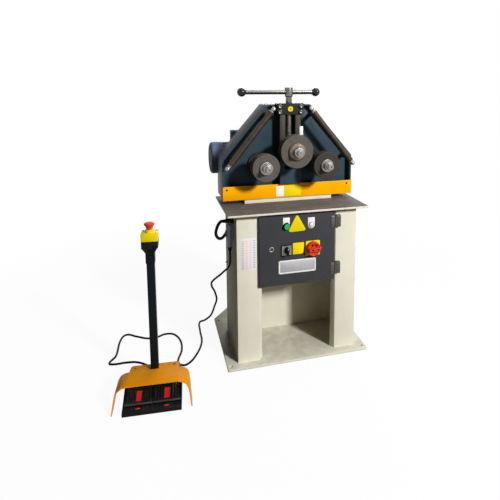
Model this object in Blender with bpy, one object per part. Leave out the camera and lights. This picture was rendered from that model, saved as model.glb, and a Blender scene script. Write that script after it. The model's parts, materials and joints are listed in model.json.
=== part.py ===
"""Ring roller: a floor-standing motorised three-roll section bender with a foot-pedal unit.

The frame is metres, +Z up. X = 0 is the machine's centre plane, Y = 0 the front edge of the
roll head and -Y its front, and Z = 0 the floor. Each piece is one object, named as a person
would name it. A moving piece has its origin on its joint's axis.
"""

import math

import bmesh
import bpy
from mathutils import Vector

MM = 0.001

# Clearances and counts
GAP = 0.3 * MM
OVERRUN = 3 * MM
EDGE = 1.2 * MM
ROUND_STEPS = 18
SMALL_STEPS = 12
ARC_STEPS = 3

# Base plate
BASE_WIDTH = 727 * MM
BASE_THICKNESS = 12 * MM
BASE_FRONT = 206 * MM
BASE_SIDE = 520 * MM
BASE_TAPER_IN = 96 * MM
BASE_TAPER_BACK = 119 * MM
BASE_CORNER = 8 * MM
ANCHOR_RADIUS = 8 * MM
ANCHOR_INSET_X = 19 * MM
ANCHOR_INSET_Y = 28 * MM

# Columns and back panel: folded sheet
SHEET = 3 * MM
COLUMN_OUTSIDE = 306.5 * MM
COLUMN_FACE = 109.5 * MM
COLUMN_FRONT = 160 * MM
COLUMN_DEPTH = 345 * MM
COLUMN_HEIGHT = 746 * MM
COLUMN_RETURN = 56 * MM
LIP_IN = 17 * MM
LIP_BACK = 24 * MM
PANEL_FROM_REAR = 55 * MM

# Table and plinth
TABLE_WIDTH = 707 * MM
TABLE_FRONT = 204 * MM
TABLE_DEPTH = 416 * MM
TABLE_THICKNESS = 10 * MM
PLINTH_WIDTH = 470 * MM
PLINTH_INSET = 2 * MM
PLINTH_HEIGHT = 22.4 * MM

# Electrical cabinet
BOX_WIDTH = 350 * MM
BOX_WALL = 2 * MM
BOX_HEIGHT = 352 * MM
BOX_FLANGE = 15 * MM
BOX_SETBACK = 2 * MM
PLATE_MARGIN = 25 * MM
PLATE_THICKNESS = 2 * MM
STANDOFF_RADIUS = 6 * MM
STANDOFF_LENGTH = 14 * MM
CONTACTOR_WIDTH = 45 * MM
CONTACTOR_HEIGHT = 80 * MM
CONTACTOR_DEPTH = 78 * MM
CONTACTOR_PITCH = 54 * MM
TRANSFORMER_WIDTH = 96 * MM
TRANSFORMER_HEIGHT = 82 * MM
TRANSFORMER_DEPTH = 74 * MM
RAIL_HEIGHT = 35 * MM
RAIL_DEPTH = 8 * MM

# Cabinet door and hinges
DOOR_WIDTH = 385 * MM
DOOR_HEIGHT = 361 * MM
DOOR_DEPTH = 14 * MM
DOOR_SHEET = 2 * MM
DOOR_TOP_GAP = 3.5 * MM
DOOR_FRONT_GAP = 1 * MM
HINGE_X = 190.5 * MM
KNUCKLE_RADIUS = 4.5 * MM
KNUCKLE_CLEAR = 1 * MM
PIN_RADIUS = 2.2 * MM
HINGE_HEIGHT = 60 * MM
HINGE_UPPER_DROP = 29.5 * MM
HINGE_LOWER_RISE = 29.5 * MM
LEAF_WIDTH = 26 * MM
LEAF_THICKNESS = 3 * MM

# Controls on the door, measured from the door's left edge and lower edge
LOCK_FROM_WALL = 35 * MM
LOCK_Z = 186 * MM
LOCK_RADIUS = 12.5 * MM
LOCK_PROUD = 3 * MM
LOCK_NECK = 8 * MM
CAM_LENGTH = 27 * MM
CAM_WIDTH = 12 * MM
CAM_THICKNESS = 2.5 * MM
BUTTON_X = 134 * MM
BUTTON_Z = 297 * MM
BUTTON_RADIUS = 14 * MM
BUTTON_PROUD = 10 * MM
BUTTON_TRAVEL = 4 * MM
BEZEL_WALL = 3.5 * MM
BEZEL_DEPTH = 12 * MM
LAMP_X = 261 * MM
LAMP_Z = 293 * MM
LAMP_RADIUS = 14 * MM
LAMP_PROUD = 9 * MM
STEM_RADIUS = 5 * MM
STEM_LENGTH = 30 * MM
SELECTOR_X = 135 * MM
SELECTOR_Z = 176 * MM
SELECTOR_RADIUS = 13 * MM
SELECTOR_DEPTH = 10 * MM
SELECTOR_GRIP_LENGTH = 42 * MM
SELECTOR_GRIP_WIDTH = 11 * MM
SELECTOR_GRIP_DEPTH = 15 * MM
SWITCH_PLATE_DEPTH = 6 * MM
SWITCH_PLATE_SIDE = 74 * MM
SELECTOR_PLATE_SIDE = 54 * MM
SWITCH_X = 268 * MM
SWITCH_Z = 176 * MM
SWITCH_RADIUS = 36 * MM
SWITCH_DEPTH = 20 * MM
SWITCH_GRIP_WIDTH = 17 * MM
SWITCH_GRIP_DEPTH = 14 * MM
SWITCH_POINTER = 9 * MM

# Roll head
HEAD_WIDTH = 691 * MM
HEAD_DEPTH = 172 * MM
HEAD_KNEE = 207 * MM
HEAD_HEIGHT = 478.5 * MM
HEAD_TOP_WIDTH = 225 * MM
HEAD_WALL = 8 * MM
SHOULDER_RADIUS = 24 * MM
KNEE_RADIUS = 10 * MM
FRONT_RECESS = 32 * MM
FRONT_PLATE = 12 * MM
REAR_PLATE = 8 * MM
REAR_RECESS = 4 * MM

# Yellow guard strip
GUARD_HEIGHT = 71 * MM
GUARD_THICKNESS = 6 * MM
GUARD_CORNER = 6 * MM

# Slide, its guide casting and the top bracket
GUIDE_WIDTH = 110 * MM
GUIDE_PROUD = 20 * MM
GUIDE_SLOT = 52 * MM
GUIDE_SLOT_RISE = 77 * MM
BRACKET_WIDTH = 139 * MM
BRACKET_HEIGHT = 58 * MM
BRACKET_PROUD = 6 * MM
BRACKET_CHAMFER = 8 * MM
SLIDE_HEIGHT = 120 * MM
SLIDE_WIDTH = 96 * MM
SLIDE_REAR = 74 * MM
TONGUE_SETBACK = 4 * MM
SLIDE_DOWN = 28 * MM
SLIDE_UP = 60 * MM

# Screw and T-bar
SCREW_Y = 10 * MM
SCREW_RADIUS = 16 * MM
NECK_LENGTH = 32 * MM
HUB_RADIUS = 20.5 * MM
HUB_HEIGHT = 46 * MM
BAR_RADIUS = 11.3 * MM
BAR_LENGTH = 385 * MM
BAR_OFFSET = 49.5 * MM
BALL_RADIUS = 22.3 * MM
BALL_STEPS = 8

# Rolls and shafts
UPPER_Z = 1044 * MM
LOWER_Z = 970 * MM
LOWER_X = 154 * MM
ROLL_FRONT = 138 * MM
DISC_THICKNESS = 17 * MM
GROOVE_WIDTH = 16 * MM
GROOVE_DEPTH = 34 * MM
UPPER_ROLL_RADIUS = 82.3 * MM
LOWER_ROLL_RADIUS = 68.2 * MM
DISC_CHAMFER = 2 * MM
SHAFT_RADIUS = 20 * MM
RUNNING_RADIUS = (SHAFT_RADIUS + GAP) / math.cos(math.pi / ROUND_STEPS)
COLLAR_RADIUS = 30 * MM
COLLAR_PLAY = 1 * MM
STUB_RADIUS = 13.4 * MM
STUB_LENGTH = 59 * MM
CENTRE_HOLE_RADIUS = 4 * MM
CENTRE_HOLE_DEPTH = 6 * MM
SPACER_RADIUS = 43 * MM
SPACER_THICKNESS = 15 * MM
UPPER_NUT_RADIUS = 27 * MM
NUT_THICKNESS = 24 * MM
NUT_WASHER_RADIUS = 32 * MM
NUT_WASHER_THICKNESS = 9 * MM
LOWER_NUT_RADIUS = 24 * MM
REAR_COLLAR_RADIUS = 26 * MM
REAR_COLLAR_LENGTH = 3 * MM
SNOUT_RADIUS = 38 * MM
SNOUT_LENGTH = 88 * MM
FLANGE_RADIUS = 56 * MM
FLANGE_THICKNESS = 11 * MM
SPIGOT_RADIUS = 44 * MM
SPIGOT_LENGTH = 30 * MM
REAR_BOSS_RADIUS = 32 * MM
REAR_BOSS_LENGTH = 7 * MM

# Gear train
MODULE = 6 * MM
GEAR_TEETH = 35
PINION_TEETH = 20
GEAR_WIDTH = 28 * MM
GEAR_FRONT = 123 * MM
PRESSURE_ANGLE = math.radians(20)
TOOTH_THINNING = 0.2 * MM
CENTRE_EXTRA = 0.2 * MM
DEDENDUM_SHARE = 1.25
PINION_SHAFT_RADIUS = 15 * MM
PINION_SHAFT_LENGTH = 160 * MM

# Gearbox and motor
WORM_DISTANCE = 63 * MM
GEARBOX_Y = 260 * MM
GEARBOX_WIDTH = 142 * MM
GEARBOX_HEIGHT = 188 * MM
GEARBOX_DEPTH = 92 * MM
GEARBOX_SHIFT = 9 * MM
GEARBOX_BELOW = 73 * MM
GEARBOX_CORNER = 28 * MM
OUTPUT_FLANGE_RADIUS = 56 * MM
MOTOR_FLANGE_RADIUS = 70 * MM
MOTOR_FLANGE_LENGTH = 12 * MM
MOTOR_RADIUS = 84 * MM
MOTOR_LENGTH = 236 * MM
MOTOR_RIBS = 18
RIB_DEPTH = 7 * MM
RIB_WIDTH_SHARE = 0.3
END_SHIELD_LENGTH = 18 * MM
FAN_COVER_RADIUS = 86 * MM
FAN_COVER_LENGTH = 46 * MM
FAN_COVER_ROUND = 16 * MM
FAN_RECESS_RADIUS = 52 * MM
FAN_RECESS_DEPTH = 2 * MM
TERMINAL_WIDTH = 66 * MM
TERMINAL_DEPTH = 56 * MM
TERMINAL_HEIGHT = 64 * MM
TERMINAL_FROM_COVER = 70 * MM

# Guide bars on the slopes
BAR_ROD_RADIUS = 14 * MM
BAR_TOP_X = 106 * MM
BAR_TOP_Z = 1237 * MM
BAR_LOW_X = 318 * MM
BAR_LOW_Z = 974 * MM
BAR_STAND = 60 * MM
DOME_RADIUS = 11.5 * MM
DOME_NECK = 8 * MM
LUG_RADIUS = 11 * MM
LUG_INSET = 26 * MM

# Foot-pedal unit, in its own frame: x to its right, y to its rear, from its front edge
PEDAL_X = -714 * MM
PEDAL_Y = -394 * MM
PEDAL_YAW = math.radians(-4.5)
FOOT_WIDTH = 243 * MM
FOOT_DEPTH = 236 * MM
FOOT_FLOOR = 8 * MM
FOOT_LEDGE = 26 * MM
FOOT_LEDGE_RISE = 8 * MM
FOOT_DIVIDER = 8 * MM
FOOT_FRONT_HEIGHT = 16 * MM
FOOT_HEIGHT = 74 * MM
FOOT_BLOCK_DEPTH = 70 * MM
TREAD_WIDTH = 108 * MM
TREAD_LENGTH = 125 * MM
TREAD_THICKNESS = 7 * MM
TREAD_PIVOT_Y = 38 * MM
TREAD_PIVOT_Z = 26 * MM
TREAD_SLOPE = math.radians(13)
TREAD_PIN_RADIUS = 3.5 * MM
TREAD_PIN_REACH = 3.6 * MM
TREAD_RIBS = 9
TREAD_RIB_HEIGHT = 1.6 * MM
TREAD_BARREL_RADIUS = 6 * MM
HOOD_WIDTH = 216 * MM
HOOD_SHEET = 4 * MM
HOOD_FLANGE = 58 * MM
HOOD_BEND = 10 * MM
HOOD_CORNER = 9 * MM
HOOD_REAR_RISE = 15 * MM
HOOD_FRONT_RISE = 26 * MM
HOOD_REACH = 123 * MM
WING_OUT = 58 * MM
WING_KNEE_OUT = 50 * MM
WING_KNEE_DROP = 50 * MM
WING_KNEE_STEPS = 4
WING_TIP_Y = 12 * MM
WING_TIP_WIDTH = 46 * MM
WING_FLOOR_GAP = 2 * MM
POLE_SIDE = 34.5 * MM
POLE_Y = 204 * MM
POLE_LENGTH = 577 * MM
STATION_SIDE = 71 * MM
STATION_DEPTH = 66 * MM
STATION_BASE = 32 * MM
STATION_COVER = 34.5 * MM
SOCKET_LENGTH = 71 * MM
SOCKET_WALL = 2.5 * MM
STATION_COLLAR_RADIUS = 18 * MM
STATION_COLLAR = 12 * MM
MUSHROOM_RADIUS = 23 * MM
MUSHROOM_NECK = 15 * MM
MUSHROOM_HEIGHT = 25.5 * MM
MUSHROOM_LIFT = 6 * MM
FOOT_GLAND_RADIUS = 9 * MM
FOOT_GLAND_LENGTH = 20 * MM
FOOT_GLAND_X = -18 * MM
FOOT_GLAND_Z = 22 * MM

# Cable gland, coupler and cords
GLAND_Y = -75 * MM
GLAND_Z = 710 * MM
GLAND_LENGTH = 50 * MM
GLAND_RADIUS = 11 * MM
GLAND_NUT_RADIUS = 15 * MM
GLAND_NUT_LENGTH = 16 * MM
COUPLER_X = -326 * MM
COUPLER_Z = 693 * MM
COUPLER_RADIUS = 16 * MM
COUPLER_TAPER_RADIUS = 12.5 * MM
COUPLER_LENGTH = 114 * MM
COUPLER_STRAIGHT = 45 * MM
COUPLER_CAP_RADIUS = 9 * MM
COUPLER_CAP_LENGTH = 19 * MM
COUPLER_FOOT_WIDTH = 22 * MM
COUPLER_FOOT_HEIGHT = 60 * MM
COUPLER_FOOT_DROP = 14 * MM
LEAD_RADIUS = 7.5 * MM
CABLE_RADIUS = 5.2 * MM
FLOOR_BAND = 1 * MM
HANDLE_SHARE = 1 / 3

# Heights and planes that follow from the sizes above
BASE_TOP = BASE_THICKNESS
COLUMN_FOOT = BASE_TOP + GAP
TABLE_LOW = BASE_TOP + COLUMN_HEIGHT
TABLE_TOP = TABLE_LOW + TABLE_THICKNESS
HEAD_LOW = TABLE_TOP + PLINTH_HEIGHT
HEAD_TOP = HEAD_LOW + HEAD_HEIGHT
GUARD_TOP = HEAD_LOW + GUARD_HEIGHT
PLATE_FRONT = FRONT_RECESS
PLATE_REAR = FRONT_RECESS + FRONT_PLATE
COVER_REAR = HEAD_DEPTH - REAR_RECESS
COVER_FRONT = COVER_REAR - REAR_PLATE
BRACKET_TOP = HEAD_TOP + BRACKET_PROUD
BRACKET_LOW = BRACKET_TOP - BRACKET_HEIGHT
SLIDE_LOW = UPPER_Z - SLIDE_HEIGHT / 2
SLIDE_TOP = UPPER_Z + SLIDE_HEIGHT / 2
HUB_LOW = BRACKET_TOP + NECK_LENGTH
BAR_Z = HUB_LOW + HUB_HEIGHT / 2
ROLL_WIDTH = 2 * DISC_THICKNESS + GROOVE_WIDTH
ROLL_REAR_Y = -ROLL_FRONT + ROLL_WIDTH
TONGUE_FRONT = -GUIDE_PROUD + TONGUE_SETBACK
GEAR_PITCH = MODULE * GEAR_TEETH / 2
PINION_PITCH = MODULE * PINION_TEETH / 2
MESH_DISTANCE = GEAR_PITCH + PINION_PITCH + CENTRE_EXTRA
PINION_Z = LOWER_Z - math.sqrt(MESH_DISTANCE**2 - LOWER_X**2)
MOTOR_Z = PINION_Z + WORM_DISTANCE
COLUMN_REAR = COLUMN_DEPTH - COLUMN_FRONT
PANEL_FRONT = COLUMN_REAR - PANEL_FROM_REAR - SHEET
DOOR_LOW = TABLE_LOW - DOOR_TOP_GAP - DOOR_HEIGHT
DOOR_BACK_Y = -COLUMN_FRONT - DOOR_FRONT_GAP
DOOR_FACE_Y = DOOR_BACK_Y - DOOR_DEPTH
HINGE_Y = DOOR_FACE_Y - LEAF_THICKNESS
DOOR_RIGHT = HINGE_X - KNUCKLE_RADIUS - KNUCKLE_CLEAR
DOOR_LEFT = DOOR_RIGHT - DOOR_WIDTH
LOCK_X = LOCK_FROM_WALL - BOX_WIDTH / 2 - DOOR_LEFT
HOOD_Z = FOOT_HEIGHT + GAP
STATION_LOW = HOOD_Z + HOOD_SHEET + GAP + POLE_LENGTH

# Free cords: hand-chosen routes through real places, from the gland or coupler on
SHORT_LEAD_ROUTE = [
    (-357.4, -75, 710),
    (-366, -75, 710),
    (-378, -74.5, 698),
    (-387, -72, 677),
    (-392, -69, 653),
    (-387, -64, 632),
    (-374, -58, 619),
    (-358, -52, 620),
    (-344, -47, 633),
    (-332, -42.5, 649),
    (-319, -40, 655),
    (-307, -40, 655),
]
PEDAL_CABLE_ROUTE = [
    (-326, -75, 559.3),
    (-325, -74, 530),
    (-327, -60, 479),
    (-356, 10, 411),
    (-398, 84, 340),
    (-396, 118, 300),
    (-378, 150, 255),
    (-363, 190, 190),
    (-371, 226, 133),
    (-388, 272, 58),
    (-418, 304, 17),
    (-448, 308, 6),
    (-456, 217, 5.5),
    (-459, 92, 5.5),
    (-497, -19, 5.5),
    (-553, -92, 5.5),
    (-590, -66, 5.5),
    (-566, 45, 5.5),
    (-568, 140, 5.5),
    (-600, 214, 5.5),
    (-645, 228, 5.5),
    (-688, 208, 5.5),
    (-735, 208, 5.5),
    (-798, 247, 5.5),
    (-850, 278, 5.5),
    (-877, 226, 5.5),
    (-890, 80, 5.5),
    (-916, 22, 5.5),
    (-886, 8, 5.5),
    (-843, 8, 5.5),
    (-790, -2, 5.5),
    (-745, -36, 5.5),
    (-718, -80, 9),
    (-710.6, -121.4, 22),
    (-711.85, -136.9, 22),
]

Y_AXIS = "Y"
Z_AXIS = "Z"
X_AXIS = "X"


# Mesh helpers


def place(axis, a, b, height):
    """Returns the point of a drawing plane (a, b) at a height along an axis."""
    if axis == X_AXIS:
        return (height, a, b)
    if axis == Y_AXIS:
        return (a, height, b)
    return (a, b, height)


def arc(centre_a, centre_b, radius, start, end, steps):
    """Returns the points of an arc, angles in degrees."""
    points = []
    for step in range(steps + 1):
        angle = math.radians(start + (end - start) * step / steps)
        points.append((centre_a + radius * math.cos(angle), centre_b + radius * math.sin(angle)))
    return points


def circle(centre_a, centre_b, radius, steps=ROUND_STEPS, phase=0.0):
    """Returns the points of a circle."""
    turn = 2 * math.pi / steps
    return [
        (centre_a + radius * math.cos(phase + turn * i), centre_b + radius * math.sin(phase + turn * i))
        for i in range(steps)
    ]


def rounded(points, radius, steps=ARC_STEPS):
    """Returns a convex outline with each corner replaced by an arc; radius may be one per corner."""
    radii = radius if isinstance(radius, list) else [radius] * len(points)
    outline = []
    for index, corner in enumerate(points):
        here = Vector(corner)
        before = (Vector(points[index - 1]) - here).normalized()
        after = (Vector(points[(index + 1) % len(points)]) - here).normalized()
        if radii[index] <= 0:
            outline.append(corner)
            continue
        half = before.angle(after) / 2
        centre = here + (before + after).normalized() * radii[index] / math.sin(half)
        first = here + before * radii[index] / math.tan(half) - centre
        last = here + after * radii[index] / math.tan(half) - centre
        sweep = first.angle_signed(last)
        start = math.atan2(first.y, first.x)
        for step in range(steps + 1):
            angle = start - sweep * step / steps
            outline.append((centre.x + radii[index] * math.cos(angle), centre.y + radii[index] * math.sin(angle)))
    return outline


def rectangle(a_low, a_high, b_low, b_high):
    """Returns a rectangle's corners, anticlockwise."""
    return [(a_low, b_low), (a_high, b_low), (a_high, b_high), (a_low, b_high)]


def offset(points, distance, closed=True):
    """Returns a path moved sideways by a distance, to its left, with mitred corners."""
    count = len(points)
    moved = []
    for index in range(count):
        here = Vector(points[index])
        normals = []
        if closed or index > 0:
            edge = here - Vector(points[index - 1])
            normals.append(Vector((-edge.y, edge.x)).normalized())
        if closed or index < count - 1:
            edge = Vector(points[(index + 1) % count]) - here
            normals.append(Vector((-edge.y, edge.x)).normalized())
        mean = sum(normals, Vector((0, 0))).normalized()
        moved.append(tuple(here + mean * distance / mean.dot(normals[0])))
    return moved


def folded(path, thickness):
    """Returns the outline of a folded sheet whose outer face follows a path."""
    return list(path) + offset(path, thickness, closed=False)[::-1]


def add_prism(mesh, outline, low, high, axis=Z_AXIS):
    """Adds an outline extruded along an axis."""
    lower = [mesh.verts.new(place(axis, a, b, low)) for a, b in outline]
    upper = [mesh.verts.new(place(axis, a, b, high)) for a, b in outline]
    mesh.faces.new(lower)
    mesh.faces.new(upper[::-1])
    for index in range(len(outline)):
        after = (index + 1) % len(outline)
        mesh.faces.new((lower[index], upper[index], upper[after], lower[after]))


def add_box(mesh, x, y, z):
    """Adds a box from three (low, high) pairs."""
    add_prism(mesh, rectangle(x[0], x[1], y[0], y[1]), z[0], z[1])


def add_band(mesh, outer, inner, low, high, axis=Z_AXIS):
    """Adds a band: an outline with a like outline cut out of it, extruded along an axis."""
    loops = []
    for outline, height in ((outer, low), (outer, high), (inner, high), (inner, low)):
        loops.append([mesh.verts.new(place(axis, a, b, height)) for a, b in outline])
    for number, loop in enumerate(loops):
        following = loops[(number + 1) % len(loops)]
        for index in range(len(loop)):
            after = (index + 1) % len(loop)
            mesh.faces.new((loop[index], following[index], following[after], loop[after]))


def add_turned(mesh, profile, centre=(0.0, 0.0), axis=Z_AXIS, steps=ROUND_STEPS, bored=False):
    """Adds a turned piece.

    profile lists (radius, place along the axis). A solid piece closes at its ends; a bored one
    closes its last point to its first.
    """
    rings = []
    for radius, height in profile:
        if radius == 0:
            rings.append([mesh.verts.new(place(axis, centre[0], centre[1], height))])
        else:
            ring = circle(centre[0], centre[1], radius, steps)
            rings.append([mesh.verts.new(place(axis, a, b, height)) for a, b in ring])
    pairs = list(zip(rings, rings[1:]))
    if bored:
        pairs.append((rings[-1], rings[0]))
    else:
        for ring in (rings[0], rings[-1]):
            if len(ring) > 1:
                mesh.faces.new(ring)
    for first, second in pairs:
        for index in range(steps):
            after = (index + 1) % steps
            corners = [first[index % len(first)], first[after % len(first)]]
            corners += [second[after % len(second)], second[index % len(second)]]
            mesh.faces.new(list(dict.fromkeys(corners)))


def material(name, colour, roughness=0.5, metallic=0.0):
    """Makes a plain Principled material."""
    made = bpy.data.materials.new(name)
    made.use_nodes = True
    shader = made.node_tree.nodes["Principled BSDF"]
    shader.inputs["Base Color"].default_value = (*colour, 1.0)
    shader.inputs["Roughness"].default_value = roughness
    shader.inputs["Metallic"].default_value = metallic
    made.diffuse_color = (*colour, 1.0)
    return made


def finish(name, mesh, finish_material, pivot=(0.0, 0.0, 0.0), parent=None, edge=0.0):
    """Turns a bmesh into a named object whose origin is at the pivot.

    edge, if given, is the width of a Bevel modifier on the sharp edges.
    """
    bmesh.ops.recalc_face_normals(mesh, faces=mesh.faces)
    bmesh.ops.translate(mesh, vec=-Vector(pivot), verts=mesh.verts)
    data = bpy.data.meshes.new(name)
    mesh.to_mesh(data)
    mesh.free()
    piece = bpy.data.objects.new(name, data)
    bpy.context.scene.collection.objects.link(piece)
    piece.location = pivot
    piece.parent = parent
    if finish_material:
        data.materials.append(finish_material)
    if edge:
        bevel = piece.modifiers.new("edge", "BEVEL")
        bevel.width = edge
        bevel.segments = 1
        bevel.limit_method = "ANGLE"
        bevel.angle_limit = math.radians(50)
    return piece


def combine(piece, mesh, operation):
    """Applies a Boolean to a piece with a helper that isn't rendered."""
    count = len(piece.modifiers)
    pivot = tuple(piece.location)
    helper = finish(f"{piece.name}_{operation.lower()}_{count}", mesh, None, pivot, piece.parent)
    helper.hide_render = True
    helper.display_type = "WIRE"
    step = piece.modifiers.new(operation.lower(), "BOOLEAN")
    step.operation = operation
    step.solver = "EXACT"
    step.use_self = True
    step.object = helper


def cut(piece, mesh):
    """Cuts a mesh out of a piece."""
    combine(piece, mesh, "DIFFERENCE")


def join(piece, mesh):
    """Welds a mesh to a piece."""
    combine(piece, mesh, "UNION")


def keep(piece, mesh):
    """Keeps only what a piece shares with a mesh."""
    combine(piece, mesh, "INTERSECT")


def lay(spline, route, radius):
    """Runs a spline through a route: along its neighbours' line, and level where it is on the floor."""
    points = [Vector(where) * MM for where in route]
    spline.bezier_points.add(len(points) - 1)
    for index, point in enumerate(spline.bezier_points):
        here = points[index]
        before = points[max(index - 1, 0)]
        after = points[min(index + 1, len(points) - 1)]
        along = (after - before).normalized()
        if here.z < radius + FLOOR_BAND:
            along.z = 0
        point.handle_left_type = "FREE"
        point.handle_right_type = "FREE"
        point.co = here
        point.handle_left = here - along * (here - before).length * HANDLE_SHARE
        point.handle_right = here + along * (after - here).length * HANDLE_SHARE


def cord(name, route, radius, cord_material):
    """Makes a free cord: a smooth tube through a list of points in millimetres."""
    curve = bpy.data.curves.new(name, "CURVE")
    curve.dimensions = "3D"
    curve.bevel_depth = radius
    curve.bevel_resolution = 1
    curve.resolution_u = 3
    curve.use_fill_caps = True
    lay(curve.splines.new("BEZIER"), route, radius)
    curve.materials.append(cord_material)
    piece = bpy.data.objects.new(name, curve)
    bpy.context.scene.collection.objects.link(piece)
    return piece


# Stand


def build_base_plate(steel):
    """The floor plate, its rear corners cut off at a slant, with an anchor hole near each corner."""
    half = BASE_WIDTH / 2
    side_end = BASE_SIDE - BASE_FRONT
    outline = [
        (-half, -BASE_FRONT),
        (half, -BASE_FRONT),
        (half, side_end),
        (half - BASE_TAPER_IN, side_end + BASE_TAPER_BACK),
        (-half + BASE_TAPER_IN, side_end + BASE_TAPER_BACK),
        (-half, side_end),
    ]
    mesh = bmesh.new()
    add_prism(mesh, rounded(outline, BASE_CORNER, 3), 0, BASE_THICKNESS)
    plate = finish("base_plate", mesh, steel)
    holes = bmesh.new()
    for side in (-1, 1):
        for y in (-BASE_FRONT + ANCHOR_INSET_Y, side_end - ANCHOR_INSET_Y):
            ring = circle(side * (half - ANCHOR_INSET_X), y, ANCHOR_RADIUS, SMALL_STEPS)
            add_prism(holes, ring, -OVERRUN, BASE_THICKNESS + OVERRUN)
    cut(plate, holes)


def build_columns(cream):
    """Two columns of folded sheet: rear return, side, front face and a slanting inner lip."""
    for side, name in ((-1, "left_column"), (1, "right_column")):
        inner = COLUMN_OUTSIDE - COLUMN_FACE
        path = [
            (side * (COLUMN_OUTSIDE - COLUMN_RETURN), COLUMN_REAR),
            (side * COLUMN_OUTSIDE, COLUMN_REAR),
            (side * COLUMN_OUTSIDE, -COLUMN_FRONT),
            (side * inner, -COLUMN_FRONT),
            (side * (inner - LIP_IN), -COLUMN_FRONT + LIP_BACK),
        ]
        mesh = bmesh.new()
        add_prism(mesh, folded(path, -side * SHEET), COLUMN_FOOT, TABLE_LOW - GAP)
        finish(name, mesh, cream)


def build_back_panel(cream):
    """The sheet between the columns, with a turned edge at each side that meets the column."""
    half = COLUMN_OUTSIDE - SHEET - GAP
    path = [
        (half, PANEL_FRONT + COLUMN_RETURN / 2),
        (half, PANEL_FRONT),
        (-half, PANEL_FRONT),
        (-half, PANEL_FRONT + COLUMN_RETURN / 2),
    ]
    mesh = bmesh.new()
    add_prism(mesh, folded(path, -SHEET), COLUMN_FOOT, TABLE_LOW - GAP)
    finish("back_panel", mesh, cream)


def build_table(worn_steel, cream):
    """The table plate and the narrower plinth plate that lifts the head off it."""
    mesh = bmesh.new()
    add_box(
        mesh,
        (-TABLE_WIDTH / 2, TABLE_WIDTH / 2),
        (-TABLE_FRONT, TABLE_DEPTH - TABLE_FRONT),
        (TABLE_LOW, TABLE_TOP - GAP),
    )
    finish("table_top", mesh, worn_steel, edge=EDGE)
    mesh = bmesh.new()
    add_box(
        mesh,
        (-PLINTH_WIDTH / 2, PLINTH_WIDTH / 2),
        (PLINTH_INSET, HEAD_DEPTH - PLINTH_INSET),
        (TABLE_TOP, HEAD_LOW - GAP),
    )
    finish("head_plinth", mesh, cream, edge=EDGE)


# Electrical cabinet


def build_cabinet_box(grey):
    """A sheet box, open at the front behind the door, with a flange round its mouth."""
    half = BOX_WIDTH / 2
    front = -COLUMN_FRONT + BOX_SETBACK
    rear = PANEL_FRONT - GAP
    top = TABLE_LOW - GAP
    low = top - BOX_HEIGHT
    mesh = bmesh.new()
    add_box(mesh, (-half, half), (front, rear), (low, top))
    box = finish("cabinet_box", mesh, grey)
    hollow = bmesh.new()
    add_box(
        hollow,
        (-half + BOX_WALL, half - BOX_WALL),
        (front + BOX_WALL, rear - BOX_WALL),
        (low + BOX_WALL, top - BOX_WALL),
    )
    cut(box, hollow)
    mouth = bmesh.new()
    add_box(
        mouth,
        (-half + BOX_FLANGE, half - BOX_FLANGE),
        (front - OVERRUN, front + 2 * BOX_WALL),
        (low + BOX_FLANGE, top - BOX_FLANGE),
    )
    cut(box, mouth)


def build_component_plate(zinc):
    """The mounting plate on its standoffs, with rail, two contactors and control transformer."""
    half = BOX_WIDTH / 2 - PLATE_MARGIN
    top = TABLE_LOW - GAP - PLATE_MARGIN
    low = TABLE_LOW - GAP - BOX_HEIGHT + PLATE_MARGIN
    back = PANEL_FRONT - GAP - BOX_WALL - GAP
    rear = back - STANDOFF_LENGTH
    front = rear - PLATE_THICKNESS
    middle = (top + low) / 2
    mesh = bmesh.new()
    add_box(mesh, (-half, half), (front, rear), (low, top))
    plate = finish("component_plate", mesh, zinc)
    feet = bmesh.new()
    for x in (-half + PLATE_MARGIN, half - PLATE_MARGIN):
        for z in (low + PLATE_MARGIN, top - PLATE_MARGIN):
            add_prism(feet, circle(x, z, STANDOFF_RADIUS, SMALL_STEPS), front + EDGE, back, Y_AXIS)
    join(plate, feet)
    rail = bmesh.new()
    add_box(
        rail,
        (-half + PLATE_MARGIN, half - PLATE_MARGIN),
        (front - RAIL_DEPTH, front + EDGE),
        (middle - RAIL_HEIGHT / 2, middle + RAIL_HEIGHT / 2),
    )
    join(plate, rail)
    blocks = bmesh.new()
    for index in range(2):
        x = -half + PLATE_MARGIN + EDGE + index * CONTACTOR_PITCH
        add_box(
            blocks,
            (x, x + CONTACTOR_WIDTH),
            (front - CONTACTOR_DEPTH, front - EDGE),
            (middle - CONTACTOR_HEIGHT / 2, middle + CONTACTOR_HEIGHT / 2),
        )
    right = half - PLATE_MARGIN - EDGE
    add_box(
        blocks,
        (right - TRANSFORMER_WIDTH, right),
        (front - TRANSFORMER_DEPTH, front - EDGE),
        (middle - TRANSFORMER_HEIGHT / 2, middle + TRANSFORMER_HEIGHT / 2),
    )
    join(plate, blocks)


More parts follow.
